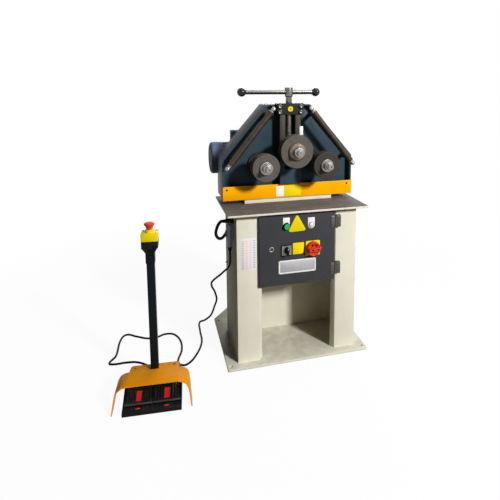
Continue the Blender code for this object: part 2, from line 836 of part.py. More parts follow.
def build_door(charcoal):
    """The door tray, with its two hinge leaves and knuckles, switch plates and button bezel."""
    pivot = (HINGE_X, HINGE_Y, DOOR_LOW)
    top = DOOR_LOW + DOOR_HEIGHT
    mesh = bmesh.new()
    add_box(mesh, (DOOR_LEFT, DOOR_RIGHT), (DOOR_FACE_Y, DOOR_BACK_Y), (DOOR_LOW, top))
    door = finish("cabinet_door", mesh, charcoal, pivot)
    tray = bmesh.new()
    add_box(
        tray,
        (DOOR_LEFT + DOOR_SHEET, DOOR_RIGHT - DOOR_SHEET),
        (DOOR_FACE_Y + DOOR_SHEET, DOOR_BACK_Y + OVERRUN),
        (DOOR_LOW + DOOR_SHEET, top - DOOR_SHEET),
    )
    cut(door, tray)
    leaves = bmesh.new()
    for low in hinge_places():
        middle = low + HINGE_HEIGHT / 2
        add_box(
            leaves,
            (HINGE_X - LEAF_WIDTH, HINGE_X - PIN_RADIUS - EDGE),
            (HINGE_Y, DOOR_FACE_Y + EDGE),
            (low, low + HINGE_HEIGHT),
        )
        add_prism(
            leaves,
            circle(HINGE_X, HINGE_Y, KNUCKLE_RADIUS, SMALL_STEPS),
            middle + GAP,
            low + HINGE_HEIGHT,
        )
    weld = bmesh.new()
    add_prism(
        weld,
        rounded(
            rectangle(
                switch_place(SWITCH_X)[0] - SWITCH_PLATE_SIDE / 2,
                switch_place(SWITCH_X)[0] + SWITCH_PLATE_SIDE / 2,
                DOOR_LOW + SWITCH_Z - SWITCH_PLATE_SIDE / 2,
                DOOR_LOW + SWITCH_Z + SWITCH_PLATE_SIDE / 2,
            ),
            EDGE * 2,
            2,
        ),
        DOOR_FACE_Y - SWITCH_PLATE_DEPTH,
        DOOR_FACE_Y + EDGE,
        Y_AXIS,
    )
    add_prism(
        weld,
        rounded(
            rectangle(
                switch_place(SELECTOR_X)[0] - SELECTOR_PLATE_SIDE / 2,
                switch_place(SELECTOR_X)[0] + SELECTOR_PLATE_SIDE / 2,
                DOOR_LOW + SELECTOR_Z - SELECTOR_PLATE_SIDE / 2,
                DOOR_LOW + SELECTOR_Z + SELECTOR_PLATE_SIDE / 2,
            ),
            EDGE * 2,
            2,
        ),
        DOOR_FACE_Y - SWITCH_PLATE_DEPTH,
        DOOR_FACE_Y + EDGE,
        Y_AXIS,
    )
    add_prism(
        weld,
        circle(switch_place(BUTTON_X)[0], DOOR_LOW + BUTTON_Z, BUTTON_RADIUS + GAP + BEZEL_WALL),
        DOOR_FACE_Y - BEZEL_DEPTH,
        DOOR_FACE_Y + EDGE,
        Y_AXIS,
    )
    add_prism(
        weld,
        circle(switch_place(LOCK_X)[0], DOOR_LOW + LOCK_Z, LOCK_NECK + BEZEL_WALL, SMALL_STEPS),
        DOOR_FACE_Y + EDGE,
        DOOR_BACK_Y,
        Y_AXIS,
    )
    join(door, leaves)
    slots = bmesh.new()
    for low in hinge_places():
        middle = low + HINGE_HEIGHT / 2
        reach = KNUCKLE_RADIUS + KNUCKLE_CLEAR
        add_box(
            slots,
            (HINGE_X - reach, HINGE_X + OVERRUN),
            (HINGE_Y - OVERRUN, HINGE_Y + reach),
            (low - OVERRUN, middle + GAP),
        )
        add_prism(
            slots,
            circle(HINGE_X, HINGE_Y, PIN_RADIUS + GAP, SMALL_STEPS),
            middle,
            low + HINGE_HEIGHT + OVERRUN,
        )
    cut(door, slots)
    join(door, weld)
    bores = bmesh.new()
    for x, z, radius in (
        (BUTTON_X, BUTTON_Z, BUTTON_RADIUS + GAP),
        (BUTTON_X, BUTTON_Z, None),
        (LAMP_X, LAMP_Z, None),
        (SELECTOR_X, SELECTOR_Z, None),
        (SWITCH_X, SWITCH_Z, None),
        (LOCK_X, LOCK_Z, LOCK_NECK + GAP),
    ):
        place_x = switch_place(x)[0]
        if radius is None:
            ring = circle(place_x, DOOR_LOW + z, STEM_RADIUS + GAP, SMALL_STEPS)
            add_prism(bores, ring, DOOR_FACE_Y - BEZEL_DEPTH - OVERRUN, DOOR_BACK_Y + OVERRUN, Y_AXIS)
        elif x == BUTTON_X:
            ring = circle(place_x, DOOR_LOW + z, radius)
            pocket = bmesh.new()
            add_prism(pocket, ring, DOOR_FACE_Y - BEZEL_DEPTH - OVERRUN, DOOR_FACE_Y, Y_AXIS)
            cut(door, pocket)
        else:
            ring = circle(place_x, DOOR_LOW + z, radius, SMALL_STEPS)
            add_prism(bores, ring, DOOR_FACE_Y - OVERRUN, DOOR_BACK_Y + OVERRUN, Y_AXIS)
    cut(door, bores)


def hinge_places():
    """Returns the lower ends of the lower and the upper hinge."""
    upper = DOOR_LOW + DOOR_HEIGHT - HINGE_UPPER_DROP - HINGE_HEIGHT
    return (DOOR_LOW + HINGE_LOWER_RISE, upper)


def switch_place(from_left):
    """Returns the world X of a control and the Y of the door's face."""
    return (DOOR_LEFT + from_left, DOOR_FACE_Y)


def build_door_hinges(zinc):
    """The leaf, lower knuckle and pin of each hinge, on the right column."""
    for name, low in zip(("door_hinge_lower", "door_hinge_upper"), hinge_places()):
        middle = low + HINGE_HEIGHT / 2
        mesh = bmesh.new()
        add_box(
            mesh,
            (HINGE_X + KNUCKLE_RADIUS + KNUCKLE_CLEAR, HINGE_X + LEAF_WIDTH),
            (HINGE_Y, -COLUMN_FRONT - GAP),
            (low, low + HINGE_HEIGHT),
        )
        hinge = finish(name, mesh, zinc)
        knuckle = bmesh.new()
        add_prism(knuckle, circle(HINGE_X, HINGE_Y, KNUCKLE_RADIUS, SMALL_STEPS), low, middle - GAP)
        join(hinge, knuckle)
        strap = bmesh.new()
        add_box(
            strap,
            (HINGE_X, HINGE_X + KNUCKLE_RADIUS + KNUCKLE_CLEAR + EDGE),
            (HINGE_Y + EDGE, HINGE_Y + KNUCKLE_RADIUS),
            (low, middle - GAP),
        )
        join(hinge, strap)
        pin = bmesh.new()
        ring = circle(HINGE_X, HINGE_Y, PIN_RADIUS, SMALL_STEPS)
        add_prism(pin, ring, low + EDGE, low + HINGE_HEIGHT + EDGE)
        join(hinge, pin)


def build_door_controls(chrome, green, white, black, red):
    """Cam lock, start button, pilot lamp, selector and main switch."""
    x = switch_place(LOCK_X)[0]
    z = DOOR_LOW + LOCK_Z
    pivot = (x, DOOR_FACE_Y, z)
    cam_low = -COLUMN_FRONT + BOX_SETBACK + BOX_WALL + GAP
    mesh = bmesh.new()
    add_turned(
        mesh,
        [
            (LOCK_RADIUS, DOOR_FACE_Y - LOCK_PROUD),
            (LOCK_RADIUS, DOOR_FACE_Y - GAP),
            (LOCK_NECK, DOOR_FACE_Y - GAP),
            (LOCK_NECK, cam_low + CAM_THICKNESS),
        ],
        (x, z),
        Y_AXIS,
        SMALL_STEPS,
    )
    lock = finish("door_lock", mesh, chrome, pivot)
    cam = bmesh.new()
    half = CAM_WIDTH / 2
    outline = arc(x, z - CAM_LENGTH + half, half, 180, 360, ARC_STEPS) + arc(x, z, half, 0, 180, ARC_STEPS)
    add_prism(cam, outline, cam_low, cam_low + CAM_THICKNESS, Y_AXIS)
    join(lock, cam)

    x = switch_place(BUTTON_X)[0]
    z = DOOR_LOW + BUTTON_Z
    cap_rear = DOOR_FACE_Y - BUTTON_TRAVEL - GAP
    cap_front = DOOR_FACE_Y - BEZEL_DEPTH - BUTTON_PROUD / 2
    mesh = bmesh.new()
    add_turned(
        mesh,
        [
            (BUTTON_RADIUS - EDGE, cap_front),
            (BUTTON_RADIUS, cap_front + EDGE),
            (BUTTON_RADIUS, cap_rear),
            (STEM_RADIUS, cap_rear),
            (STEM_RADIUS, cap_rear + STEM_LENGTH),
        ],
        (x, z),
        Y_AXIS,
    )
    finish("start_button", mesh, green, (x, cap_front, z))

    x = switch_place(LAMP_X)[0]
    z = DOOR_LOW + LAMP_Z
    dome = [
        (LAMP_RADIUS * math.sin(angle), DOOR_FACE_Y - GAP - LAMP_PROUD * math.cos(angle))
        for angle in (0, math.pi / 6, math.pi / 3, math.pi / 2)
    ]
    mesh = bmesh.new()
    add_turned(mesh, dome + [(STEM_RADIUS, DOOR_FACE_Y - GAP), (STEM_RADIUS, DOOR_BACK_Y)], (x, z), Y_AXIS)
    finish("pilot_lamp", mesh, white)

    x = switch_place(SELECTOR_X)[0]
    z = DOOR_LOW + SELECTOR_Z
    seat = DOOR_FACE_Y - SWITCH_PLATE_DEPTH - GAP
    knob = build_knob("selector_knob", (x, seat, z), SELECTOR_RADIUS, SELECTOR_DEPTH, black)
    grip = bmesh.new()
    half = SELECTOR_GRIP_WIDTH / 2
    reach = SELECTOR_GRIP_LENGTH / 2 - half
    outline = arc(x, z + reach, half, 0, 180, ARC_STEPS) + arc(x, z - reach, half, 180, 360, ARC_STEPS)
    add_prism(grip, outline, seat - SELECTOR_DEPTH - SELECTOR_GRIP_DEPTH, seat - EDGE, Y_AXIS)
    join(knob, grip)

    x = switch_place(SWITCH_X)[0]
    z = DOOR_LOW + SWITCH_Z
    knob = build_knob("main_switch_knob", (x, seat, z), SWITCH_RADIUS, SWITCH_DEPTH, red)
    grip = bmesh.new()
    half = SWITCH_GRIP_WIDTH / 2
    reach = SWITCH_RADIUS - half - EDGE
    outline = arc(x + reach, z, half, -90, 90, ARC_STEPS) + arc(x - reach, z, half, 90, 270, ARC_STEPS)
    add_prism(grip, outline, seat - SWITCH_DEPTH - SWITCH_GRIP_DEPTH, seat - EDGE, Y_AXIS)
    tip = x + SWITCH_RADIUS + SWITCH_POINTER
    root = x + SWITCH_RADIUS - SWITCH_POINTER
    join(knob, grip)
    pointer = bmesh.new()
    add_prism(pointer, [(root, z - half), (tip, z), (root, z + half)], seat - SWITCH_DEPTH / 2, seat - EDGE, Y_AXIS)
    join(knob, pointer)


def build_knob(name, pivot, radius, depth, knob_material):
    """A round knob on a stem that passes through the door."""
    x, seat, z = pivot
    mesh = bmesh.new()
    add_turned(
        mesh,
        [
            (radius - EDGE, seat - depth),
            (radius, seat - depth + EDGE),
            (radius, seat),
            (STEM_RADIUS, seat),
            (STEM_RADIUS, seat + STEM_LENGTH),
        ],
        (x, z),
        Y_AXIS,
    )
    return finish(name, mesh, knob_material, pivot)


# Roll head


def head_outline():
    """Returns the head's outline in X and Z, anticlockwise, with rounded shoulders and knees."""
    half = HEAD_WIDTH / 2
    top = HEAD_TOP_WIDTH / 2
    corners = [
        (-half, HEAD_LOW),
        (half, HEAD_LOW),
        (half, HEAD_LOW + HEAD_KNEE),
        (top, HEAD_TOP),
        (-top, HEAD_TOP),
        (-half, HEAD_LOW + HEAD_KNEE),
    ]
    radii = [KNEE_RADIUS, KNEE_RADIUS, KNEE_RADIUS, SHOULDER_RADIUS, SHOULDER_RADIUS, KNEE_RADIUS]
    return rounded(corners, radii)


def build_head_shell(blue_grey):
    """The band of plate round the head, let out at the top for the bracket."""
    outer = head_outline()
    mesh = bmesh.new()
    add_band(mesh, outer, offset(outer, HEAD_WALL), 0, HEAD_DEPTH, Y_AXIS)
    shell = finish("head_shell", mesh, blue_grey)
    notch = bmesh.new()
    half = BRACKET_WIDTH / 2 + GAP
    add_box(notch, (-half, half), (-OVERRUN, PLATE_FRONT), (BRACKET_LOW, HEAD_TOP + OVERRUN))
    cut(shell, notch)


def build_front_plate(blue):
    """The recessed front plate, with the slide's slot and a bore for each lower bearing."""
    mesh = bmesh.new()
    add_prism(mesh, offset(head_outline(), HEAD_WALL + GAP), PLATE_FRONT, PLATE_REAR, Y_AXIS)
    plate = finish("front_plate", mesh, blue)
    bores = bmesh.new()
    for side in (-1, 1):
        ring = circle(side * LOWER_X, LOWER_Z, SPIGOT_RADIUS + GAP)
        add_prism(bores, ring, PLATE_FRONT - OVERRUN, PLATE_REAR + OVERRUN, Y_AXIS)
    add_box(
        bores,
        (-GUIDE_SLOT / 2, GUIDE_SLOT / 2),
        (PLATE_FRONT - OVERRUN, PLATE_REAR + OVERRUN),
        (GUARD_TOP + GUIDE_SLOT_RISE, BRACKET_LOW - GAP),
    )
    cut(plate, bores)


def build_rear_cover(blue):
    """The rear cover, with a bearing boss for each lower shaft and a bore for the drive shaft."""
    mesh = bmesh.new()
    add_prism(mesh, offset(head_outline(), HEAD_WALL + GAP), COVER_FRONT, COVER_REAR, Y_AXIS)
    cover = finish("rear_cover", mesh, blue)
    bosses = bmesh.new()
    for side in (-1, 1):
        ring = circle(side * LOWER_X, LOWER_Z, REAR_BOSS_RADIUS, SMALL_STEPS)
        add_prism(bosses, ring, COVER_FRONT - REAR_BOSS_LENGTH, COVER_FRONT + EDGE, Y_AXIS)
    join(cover, bosses)
    bores = bmesh.new()
    low = COVER_FRONT - REAR_BOSS_LENGTH - OVERRUN
    for side in (-1, 1):
        ring = circle(side * LOWER_X, LOWER_Z, RUNNING_RADIUS)
        add_prism(bores, ring, low, COVER_REAR + OVERRUN, Y_AXIS)
    add_prism(bores, circle(0, PINION_Z, PINION_SHAFT_RADIUS + GAP), low, COVER_REAR + OVERRUN, Y_AXIS)
    cut(cover, bores)


def build_guard_strip(yellow):
    """The yellow strip across the foot of the head, its upper corners rounded."""
    half = HEAD_WIDTH / 2
    corners = rectangle(-half, half, HEAD_LOW, GUARD_TOP)
    mesh = bmesh.new()
    outline = rounded(corners, [0, 0, GUARD_CORNER, GUARD_CORNER], 3)
    add_prism(mesh, outline, -GUARD_THICKNESS - GAP, -GAP, Y_AXIS)
    finish("guard_strip", mesh, yellow)


def build_guide_housing(blue):
    """The U-shaped guide casting on the front plate, in whose slot the slide runs."""
    half = GUIDE_WIDTH / 2
    slot = GUIDE_SLOT / 2
    low = GUARD_TOP + GAP
    top = BRACKET_LOW - GAP
    floor = GUARD_TOP + GUIDE_SLOT_RISE
    outline = [
        (-half, low),
        (half, low),
        (half, top),
        (slot, top),
        (slot, floor),
        (-slot, floor),
        (-slot, top),
        (-half, top),
    ]
    mesh = bmesh.new()
    add_prism(mesh, outline, -GUIDE_PROUD, PLATE_FRONT - GAP, Y_AXIS)
    finish("guide_housing", mesh, blue, edge=EDGE)


def build_top_bracket(blue):
    """The chamfered block over the slot that holds the screw's nut."""
    half = BRACKET_WIDTH / 2
    chamfer = BRACKET_CHAMFER
    outline = [
        (-half, BRACKET_LOW + chamfer),
        (-half + chamfer, BRACKET_LOW),
        (half - chamfer, BRACKET_LOW),
        (half, BRACKET_LOW + chamfer),
        (half, BRACKET_TOP),
        (-half, BRACKET_TOP),
    ]
    mesh = bmesh.new()
    add_prism(mesh, outline, -GUIDE_PROUD, PLATE_FRONT - GAP, Y_AXIS)
    bracket = finish("top_bracket", mesh, blue)
    bore = bmesh.new()
    add_prism(bore, circle(0, SCREW_Y, SCREW_RADIUS + GAP), BRACKET_LOW - OVERRUN, BRACKET_TOP + OVERRUN)
    cut(bracket, bore)


def build_slide(steel):
    """The slide block: a tongue in the slot and a wide body behind the front plate."""
    tongue = GUIDE_SLOT / 2 - GAP
    body = SLIDE_WIDTH / 2
    shoulder = PLATE_REAR + GAP
    rear = shoulder + SLIDE_REAR
    outline = [
        (-tongue, TONGUE_FRONT),
        (tongue, TONGUE_FRONT),
        (tongue, shoulder),
        (body, shoulder),
        (body, rear),
        (-body, rear),
        (-body, shoulder),
        (-tongue, shoulder),
    ]
    mesh = bmesh.new()
    add_prism(mesh, outline, SLIDE_LOW, SLIDE_TOP)
    slide = finish("slide_block", mesh, steel, (0, 0, UPPER_Z))
    bore = bmesh.new()
    ring = circle(0, UPPER_Z, RUNNING_RADIUS)
    add_prism(bore, ring, TONGUE_FRONT - OVERRUN, rear + OVERRUN, Y_AXIS)
    cut(slide, bore)


def build_screw(steel):
    """The lead screw with its hub, cross-bored for the bar."""
    pivot = (0, SCREW_Y, BAR_Z)
    top = HUB_LOW + HUB_HEIGHT
    neck = (SCREW_RADIUS + HUB_RADIUS) / 2
    mesh = bmesh.new()
    add_turned(
        mesh,
        [
            (SCREW_RADIUS - EDGE, SLIDE_TOP + GAP),
            (SCREW_RADIUS, SLIDE_TOP + GAP + EDGE),
            (SCREW_RADIUS, HUB_LOW - EDGE),
            (neck, HUB_LOW),
            (HUB_RADIUS, HUB_LOW + 2 * EDGE),
            (HUB_RADIUS, top - EDGE),
            (HUB_RADIUS - EDGE, top),
        ],
        (0, SCREW_Y),
    )
    screw = finish("lead_screw", mesh, steel, pivot)
    bore = bmesh.new()
    reach = HUB_RADIUS + OVERRUN
    add_prism(bore, circle(SCREW_Y, BAR_Z, BAR_RADIUS + GAP), -reach, reach, X_AXIS)
    cut(screw, bore)


def build_t_bar(chrome):
    """The sliding bar with a ball knob on each end."""
    half = BAR_LENGTH / 2
    middle = -BAR_OFFSET
    lead = math.asin(BAR_RADIUS / BALL_RADIUS)
    left = []
    for step in range(BALL_STEPS):
        angle = (math.pi - lead) * step / (BALL_STEPS - 1)
        left.append((BALL_RADIUS * math.sin(angle), middle - half - BALL_RADIUS * math.cos(angle)))
    right = [(radius, 2 * middle - along) for radius, along in reversed(left)]
    mesh = bmesh.new()
    add_turned(mesh, left + right, (SCREW_Y, BAR_Z), X_AXIS, SMALL_STEPS)
    finish("t_bar", mesh, chrome, (middle, SCREW_Y, BAR_Z))


def build_guide_bars(brown):
    """The round bar along each slope: two standing lugs, the bar and a domed end at each end."""
    for side, name in ((-1, "left_guide_bar"), (1, "right_guide_bar")):
        top = Vector((side * BAR_TOP_X, -BAR_STAND, BAR_TOP_Z))
        low = Vector((side * BAR_LOW_X, -BAR_STAND, BAR_LOW_Z))
        run = (low - top).normalized()
        across = Vector((0, 1, 0))
        up = run.cross(across)
        length = (low - top).length
        profile = [(0, -DOME_NECK - 2 * DOME_RADIUS)]
        for step in range(1, ARC_STEPS + 1):
            angle = math.pi * 0.75 * step / ARC_STEPS
            along = -DOME_NECK - DOME_RADIUS - DOME_RADIUS * math.cos(angle)
            profile.append((DOME_RADIUS * math.sin(angle), along))
        profile += [(BAR_ROD_RADIUS - EDGE, 0), (BAR_ROD_RADIUS, EDGE)]
        profile += [(radius, length - along) for radius, along in reversed(profile)]
        mesh = bmesh.new()
        rings = []
        for radius, along in profile:
            spot = top + run * along
            if radius == 0:
                rings.append([mesh.verts.new(spot)])
                continue
            ring = circle(0, 0, radius, SMALL_STEPS)
            rings.append([mesh.verts.new(spot + across * a + up * b) for a, b in ring])
        for first, second in zip(rings, rings[1:]):
            for index in range(SMALL_STEPS):
                after = (index + 1) % SMALL_STEPS
                corners = [first[index % len(first)], first[after % len(first)]]
                corners += [second[after % len(second)], second[index % len(second)]]
                mesh.faces.new(list(dict.fromkeys(corners)))
        bar = finish(name, mesh, brown)
        lugs = bmesh.new()
        for spot in (top + run * LUG_INSET, low - run * LUG_INSET):
            ring = circle(spot.x, spot.z, LUG_RADIUS, SMALL_STEPS)
            add_prism(lugs, ring, spot.y, PLATE_FRONT - GAP, Y_AXIS)
        join(bar, lugs)


# Shafts, rolls, bearings and gears


def build_shaft(name, x, z, collar_rear, rear, steel, rear_collar=None):
    """A roll shaft: threaded stub with a centre hole, roll seat, collar and journal."""
    stub_front = -ROLL_FRONT - STUB_LENGTH
    profile = [
        (0, stub_front + CENTRE_HOLE_DEPTH),
        (CENTRE_HOLE_RADIUS, stub_front),
        (STUB_RADIUS - EDGE, stub_front),
        (STUB_RADIUS, stub_front + EDGE),
        (STUB_RADIUS, -ROLL_FRONT - GAP),
        (SHAFT_RADIUS, -ROLL_FRONT - GAP),
        (SHAFT_RADIUS, ROLL_REAR_Y + GAP),
        (COLLAR_RADIUS, ROLL_REAR_Y + GAP),
        (COLLAR_RADIUS, collar_rear),
        (SHAFT_RADIUS, collar_rear),
    ]
    if rear_collar:
        profile += [
            (SHAFT_RADIUS, rear_collar),
            (REAR_COLLAR_RADIUS, rear_collar),
            (REAR_COLLAR_RADIUS, rear_collar + REAR_COLLAR_LENGTH),
        ]
    else:
        profile += [(SHAFT_RADIUS, rear)]
    mesh = bmesh.new()
    add_turned(mesh, profile, (x, z), Y_AXIS)
    finish(name, mesh, steel, (x, 0, z))


def build_roll(prefix, x, z, radius, steel):
    """A grooved roll of two discs: the rear one has the hub that makes the groove."""
    bore = SHAFT_RADIUS + GAP
    groove = radius - GROOVE_DEPTH
    front = -ROLL_FRONT
    step = front + DISC_THICKNESS
    mesh = bmesh.new()
    add_turned(
        mesh,
        [
            (bore, front),
            (radius - DISC_CHAMFER, front),
            (radius, front + DISC_CHAMFER),
            (radius, step),
            (bore, step),
        ],
        (x, z),
        Y_AXIS,
        bored=True,
    )
    finish(f"{prefix}_roll_front", mesh, steel, (x, 0, z))
    hub = step + GAP
    disc = step + GROOVE_WIDTH
    mesh = bmesh.new()
    add_turned(
        mesh,
        [
            (bore, hub),
            (groove, hub),
            (groove, disc),
            (radius, disc),
            (radius, ROLL_REAR_Y - DISC_CHAMFER),
            (radius - DISC_CHAMFER, ROLL_REAR_Y),
            (bore, ROLL_REAR_Y),
        ],
        (x, z),
        Y_AXIS,
        bored=True,
    )
    finish(f"{prefix}_roll_rear", mesh, steel, (x, 0, z))


def build_lock_nut(name, x, z, front_of_seat, radius, washer, steel):
    """A hexagon nut on the stub, with a washer face where washer is a (radius, thickness)."""
    bore = STUB_RADIUS + GAP
    seat = front_of_seat - GAP
    nut_rear = seat
    washer_mesh = bmesh.new()
    if washer:
        nut_rear = seat - washer[1]
        add_turned(
            washer_mesh,
            [(bore, nut_rear), (washer[0], nut_rear), (washer[0], seat), (bore, seat)],
            (x, z),
            Y_AXIS,
            bored=True,
        )
    mesh = bmesh.new()
    outer = circle(x, z, radius, 6, math.pi / 6)
    overlap = EDGE if washer else 0
    add_prism(mesh, outer, nut_rear - NUT_THICKNESS, nut_rear + overlap, Y_AXIS)
    nut = finish(name, mesh, steel, (x, 0, z))
    if washer:
        join(nut, washer_mesh)
    else:
        washer_mesh.free()
    hole = bmesh.new()
    ring = circle(x, z, bore)
    add_prism(hole, ring, nut_rear - NUT_THICKNESS - OVERRUN, seat + OVERRUN, Y_AXIS)
    cut(nut, hole)


def build_end_spacer(steel):
    """The loose disc between the upper roll and its nut."""
    bore = STUB_RADIUS + GAP
    rear = -ROLL_FRONT - 2 * GAP
    front = rear - SPACER_THICKNESS
    mesh = bmesh.new()
    add_turned(
        mesh,
        [
            (bore, front),
            (SPACER_RADIUS - DISC_CHAMFER, front),
            (SPACER_RADIUS, front + DISC_CHAMFER),
            (SPACER_RADIUS, rear),
            (bore, rear),
        ],
        (0, UPPER_Z),
        Y_AXIS,
        bored=True,
    )
    finish("upper_end_spacer", mesh, steel, (0, 0, UPPER_Z))
    return front


def build_bearing(name, x, steel):
    """A lower bearing housing: snout, bolted flange and the spigot in the front plate."""
    bore = RUNNING_RADIUS
    seat = PLATE_FRONT - GAP
    mesh = bmesh.new()
    add_turned(
        mesh,
        [
            (bore, seat - SNOUT_LENGTH),
            (SNOUT_RADIUS - EDGE, seat - SNOUT_LENGTH),
            (SNOUT_RADIUS, seat - SNOUT_LENGTH + EDGE),
            (SNOUT_RADIUS, seat - FLANGE_THICKNESS),
            (FLANGE_RADIUS, seat - FLANGE_THICKNESS),
            (FLANGE_RADIUS, seat),
            (SPIGOT_RADIUS, seat),
            (SPIGOT_RADIUS, seat + SPIGOT_LENGTH),
            (bore, seat + SPIGOT_LENGTH),
        ],
        (x, LOWER_Z),
        Y_AXIS,
        bored=True,
    )
    finish(name, mesh, steel)


def involute(angle):
    """Returns the involute function of a pressure angle."""
    return math.tan(angle) - angle


def gear_outline(x, z, teeth, phase):
    """Returns an involute gear's outline, with a tooth centred at the phase angle."""
    pitch = MODULE * teeth / 2
    tip = pitch + MODULE
    root = pitch - DEDENDUM_SHARE * MODULE
    base = pitch * math.cos(PRESSURE_ANGLE)
    half = math.pi / (2 * teeth) - TOOTH_THINNING / pitch
    flank = []
    for radius in (root, max(base, root), pitch + MODULE / 2, tip):
        lean = math.acos(min(1.0, base / radius))
        flank.append((radius, half + involute(PRESSURE_ANGLE) - involute(lean)))
    if flank[1][0] - flank[0][0] < EDGE:
        flank.pop(1)
    outline = []
    for tooth in range(teeth):
        centre = phase + 2 * math.pi * tooth / teeth
        sides = [(radius, centre - lean) for radius, lean in flank]
        sides += [(radius, centre + lean) for radius, lean in reversed(flank)]
        outline += [(x + radius * math.cos(angle), z + radius * math.sin(angle)) for radius, angle in sides]
    return outline


def mesh_phase(x, z, pinion_phase):
    """Returns the phase that brings a gear into mesh with the pinion at (0, PINION_Z)."""
    towards = math.atan2(PINION_Z - z, -x)
    pitch_angle = 2 * math.pi / PINION_TEETH
    lag = (towards + math.pi - pinion_phase) % pitch_angle
    return towards + lag * PINION_PITCH / GEAR_PITCH + math.pi / GEAR_TEETH


def build_gears(steel):
    """The pinion on the gearbox's shaft and the gear on each lower shaft."""
    rear = GEAR_FRONT + GEAR_WIDTH
    for side, name in ((-1, "left_gear"), (1, "right_gear")):
        x = side * LOWER_X
        mesh = bmesh.new()
        outline = gear_outline(x, LOWER_Z, GEAR_TEETH, mesh_phase(x, LOWER_Z, math.pi / 2))
        add_prism(mesh, outline, GEAR_FRONT, rear, Y_AXIS)
        gear = finish(name, mesh, steel, (x, 0, LOWER_Z))
        bore = bmesh.new()
        ring = circle(x, LOWER_Z, SHAFT_RADIUS + GAP)
        add_prism(bore, ring, GEAR_FRONT - OVERRUN, rear + OVERRUN, Y_AXIS)
        cut(gear, bore)
    mesh = bmesh.new()
    outline = gear_outline(0, PINION_Z, PINION_TEETH, math.pi / 2)
    add_prism(mesh, outline, GEAR_FRONT, rear, Y_AXIS)
    pinion = finish("drive_pinion", mesh, steel, (0, 0, PINION_Z))
    shaft = bmesh.new()
    front = GEAR_FRONT - REAR_COLLAR_LENGTH
    ring = circle(0, PINION_Z, PINION_SHAFT_RADIUS)
    add_prism(shaft, ring, front, front + PINION_SHAFT_LENGTH, Y_AXIS)
    join(pinion, shaft)


# Drive


def build_gearbox(blue):
    """The worm gearbox: case, output flange to the head and motor flange."""
    low = PINION_Z - GEARBOX_BELOW
    left = -GEARBOX_WIDTH / 2 - GEARBOX_SHIFT
    right = GEARBOX_WIDTH / 2 - GEARBOX_SHIFT
    front = GEARBOX_Y - GEARBOX_DEPTH / 2
    rear = GEARBOX_Y + GEARBOX_DEPTH / 2
    mesh = bmesh.new()
    outline = rounded(rectangle(left, right, low, low + GEARBOX_HEIGHT), GEARBOX_CORNER)
    add_prism(mesh, outline, front, rear, Y_AXIS)
    case = finish("gearbox", mesh, blue)
    flange = bmesh.new()
    ring = circle(0, PINION_Z, OUTPUT_FLANGE_RADIUS)
    add_prism(flange, ring, COVER_REAR + GAP, rear + EDGE * 4, Y_AXIS)
    join(case, flange)
    flange = bmesh.new()
    ring = circle(GEARBOX_Y, MOTOR_Z, MOTOR_FLANGE_RADIUS)
    add_prism(flange, ring, left - MOTOR_FLANGE_LENGTH, left + OVERRUN, X_AXIS)
    join(case, flange)
    bore = bmesh.new()
    shaft_end = GEAR_FRONT - REAR_COLLAR_LENGTH + PINION_SHAFT_LENGTH
    ring = circle(0, PINION_Z, PINION_SHAFT_RADIUS + GAP)
    add_prism(bore, ring, COVER_REAR - OVERRUN, shaft_end + GAP, Y_AXIS)
    cut(case, bore)


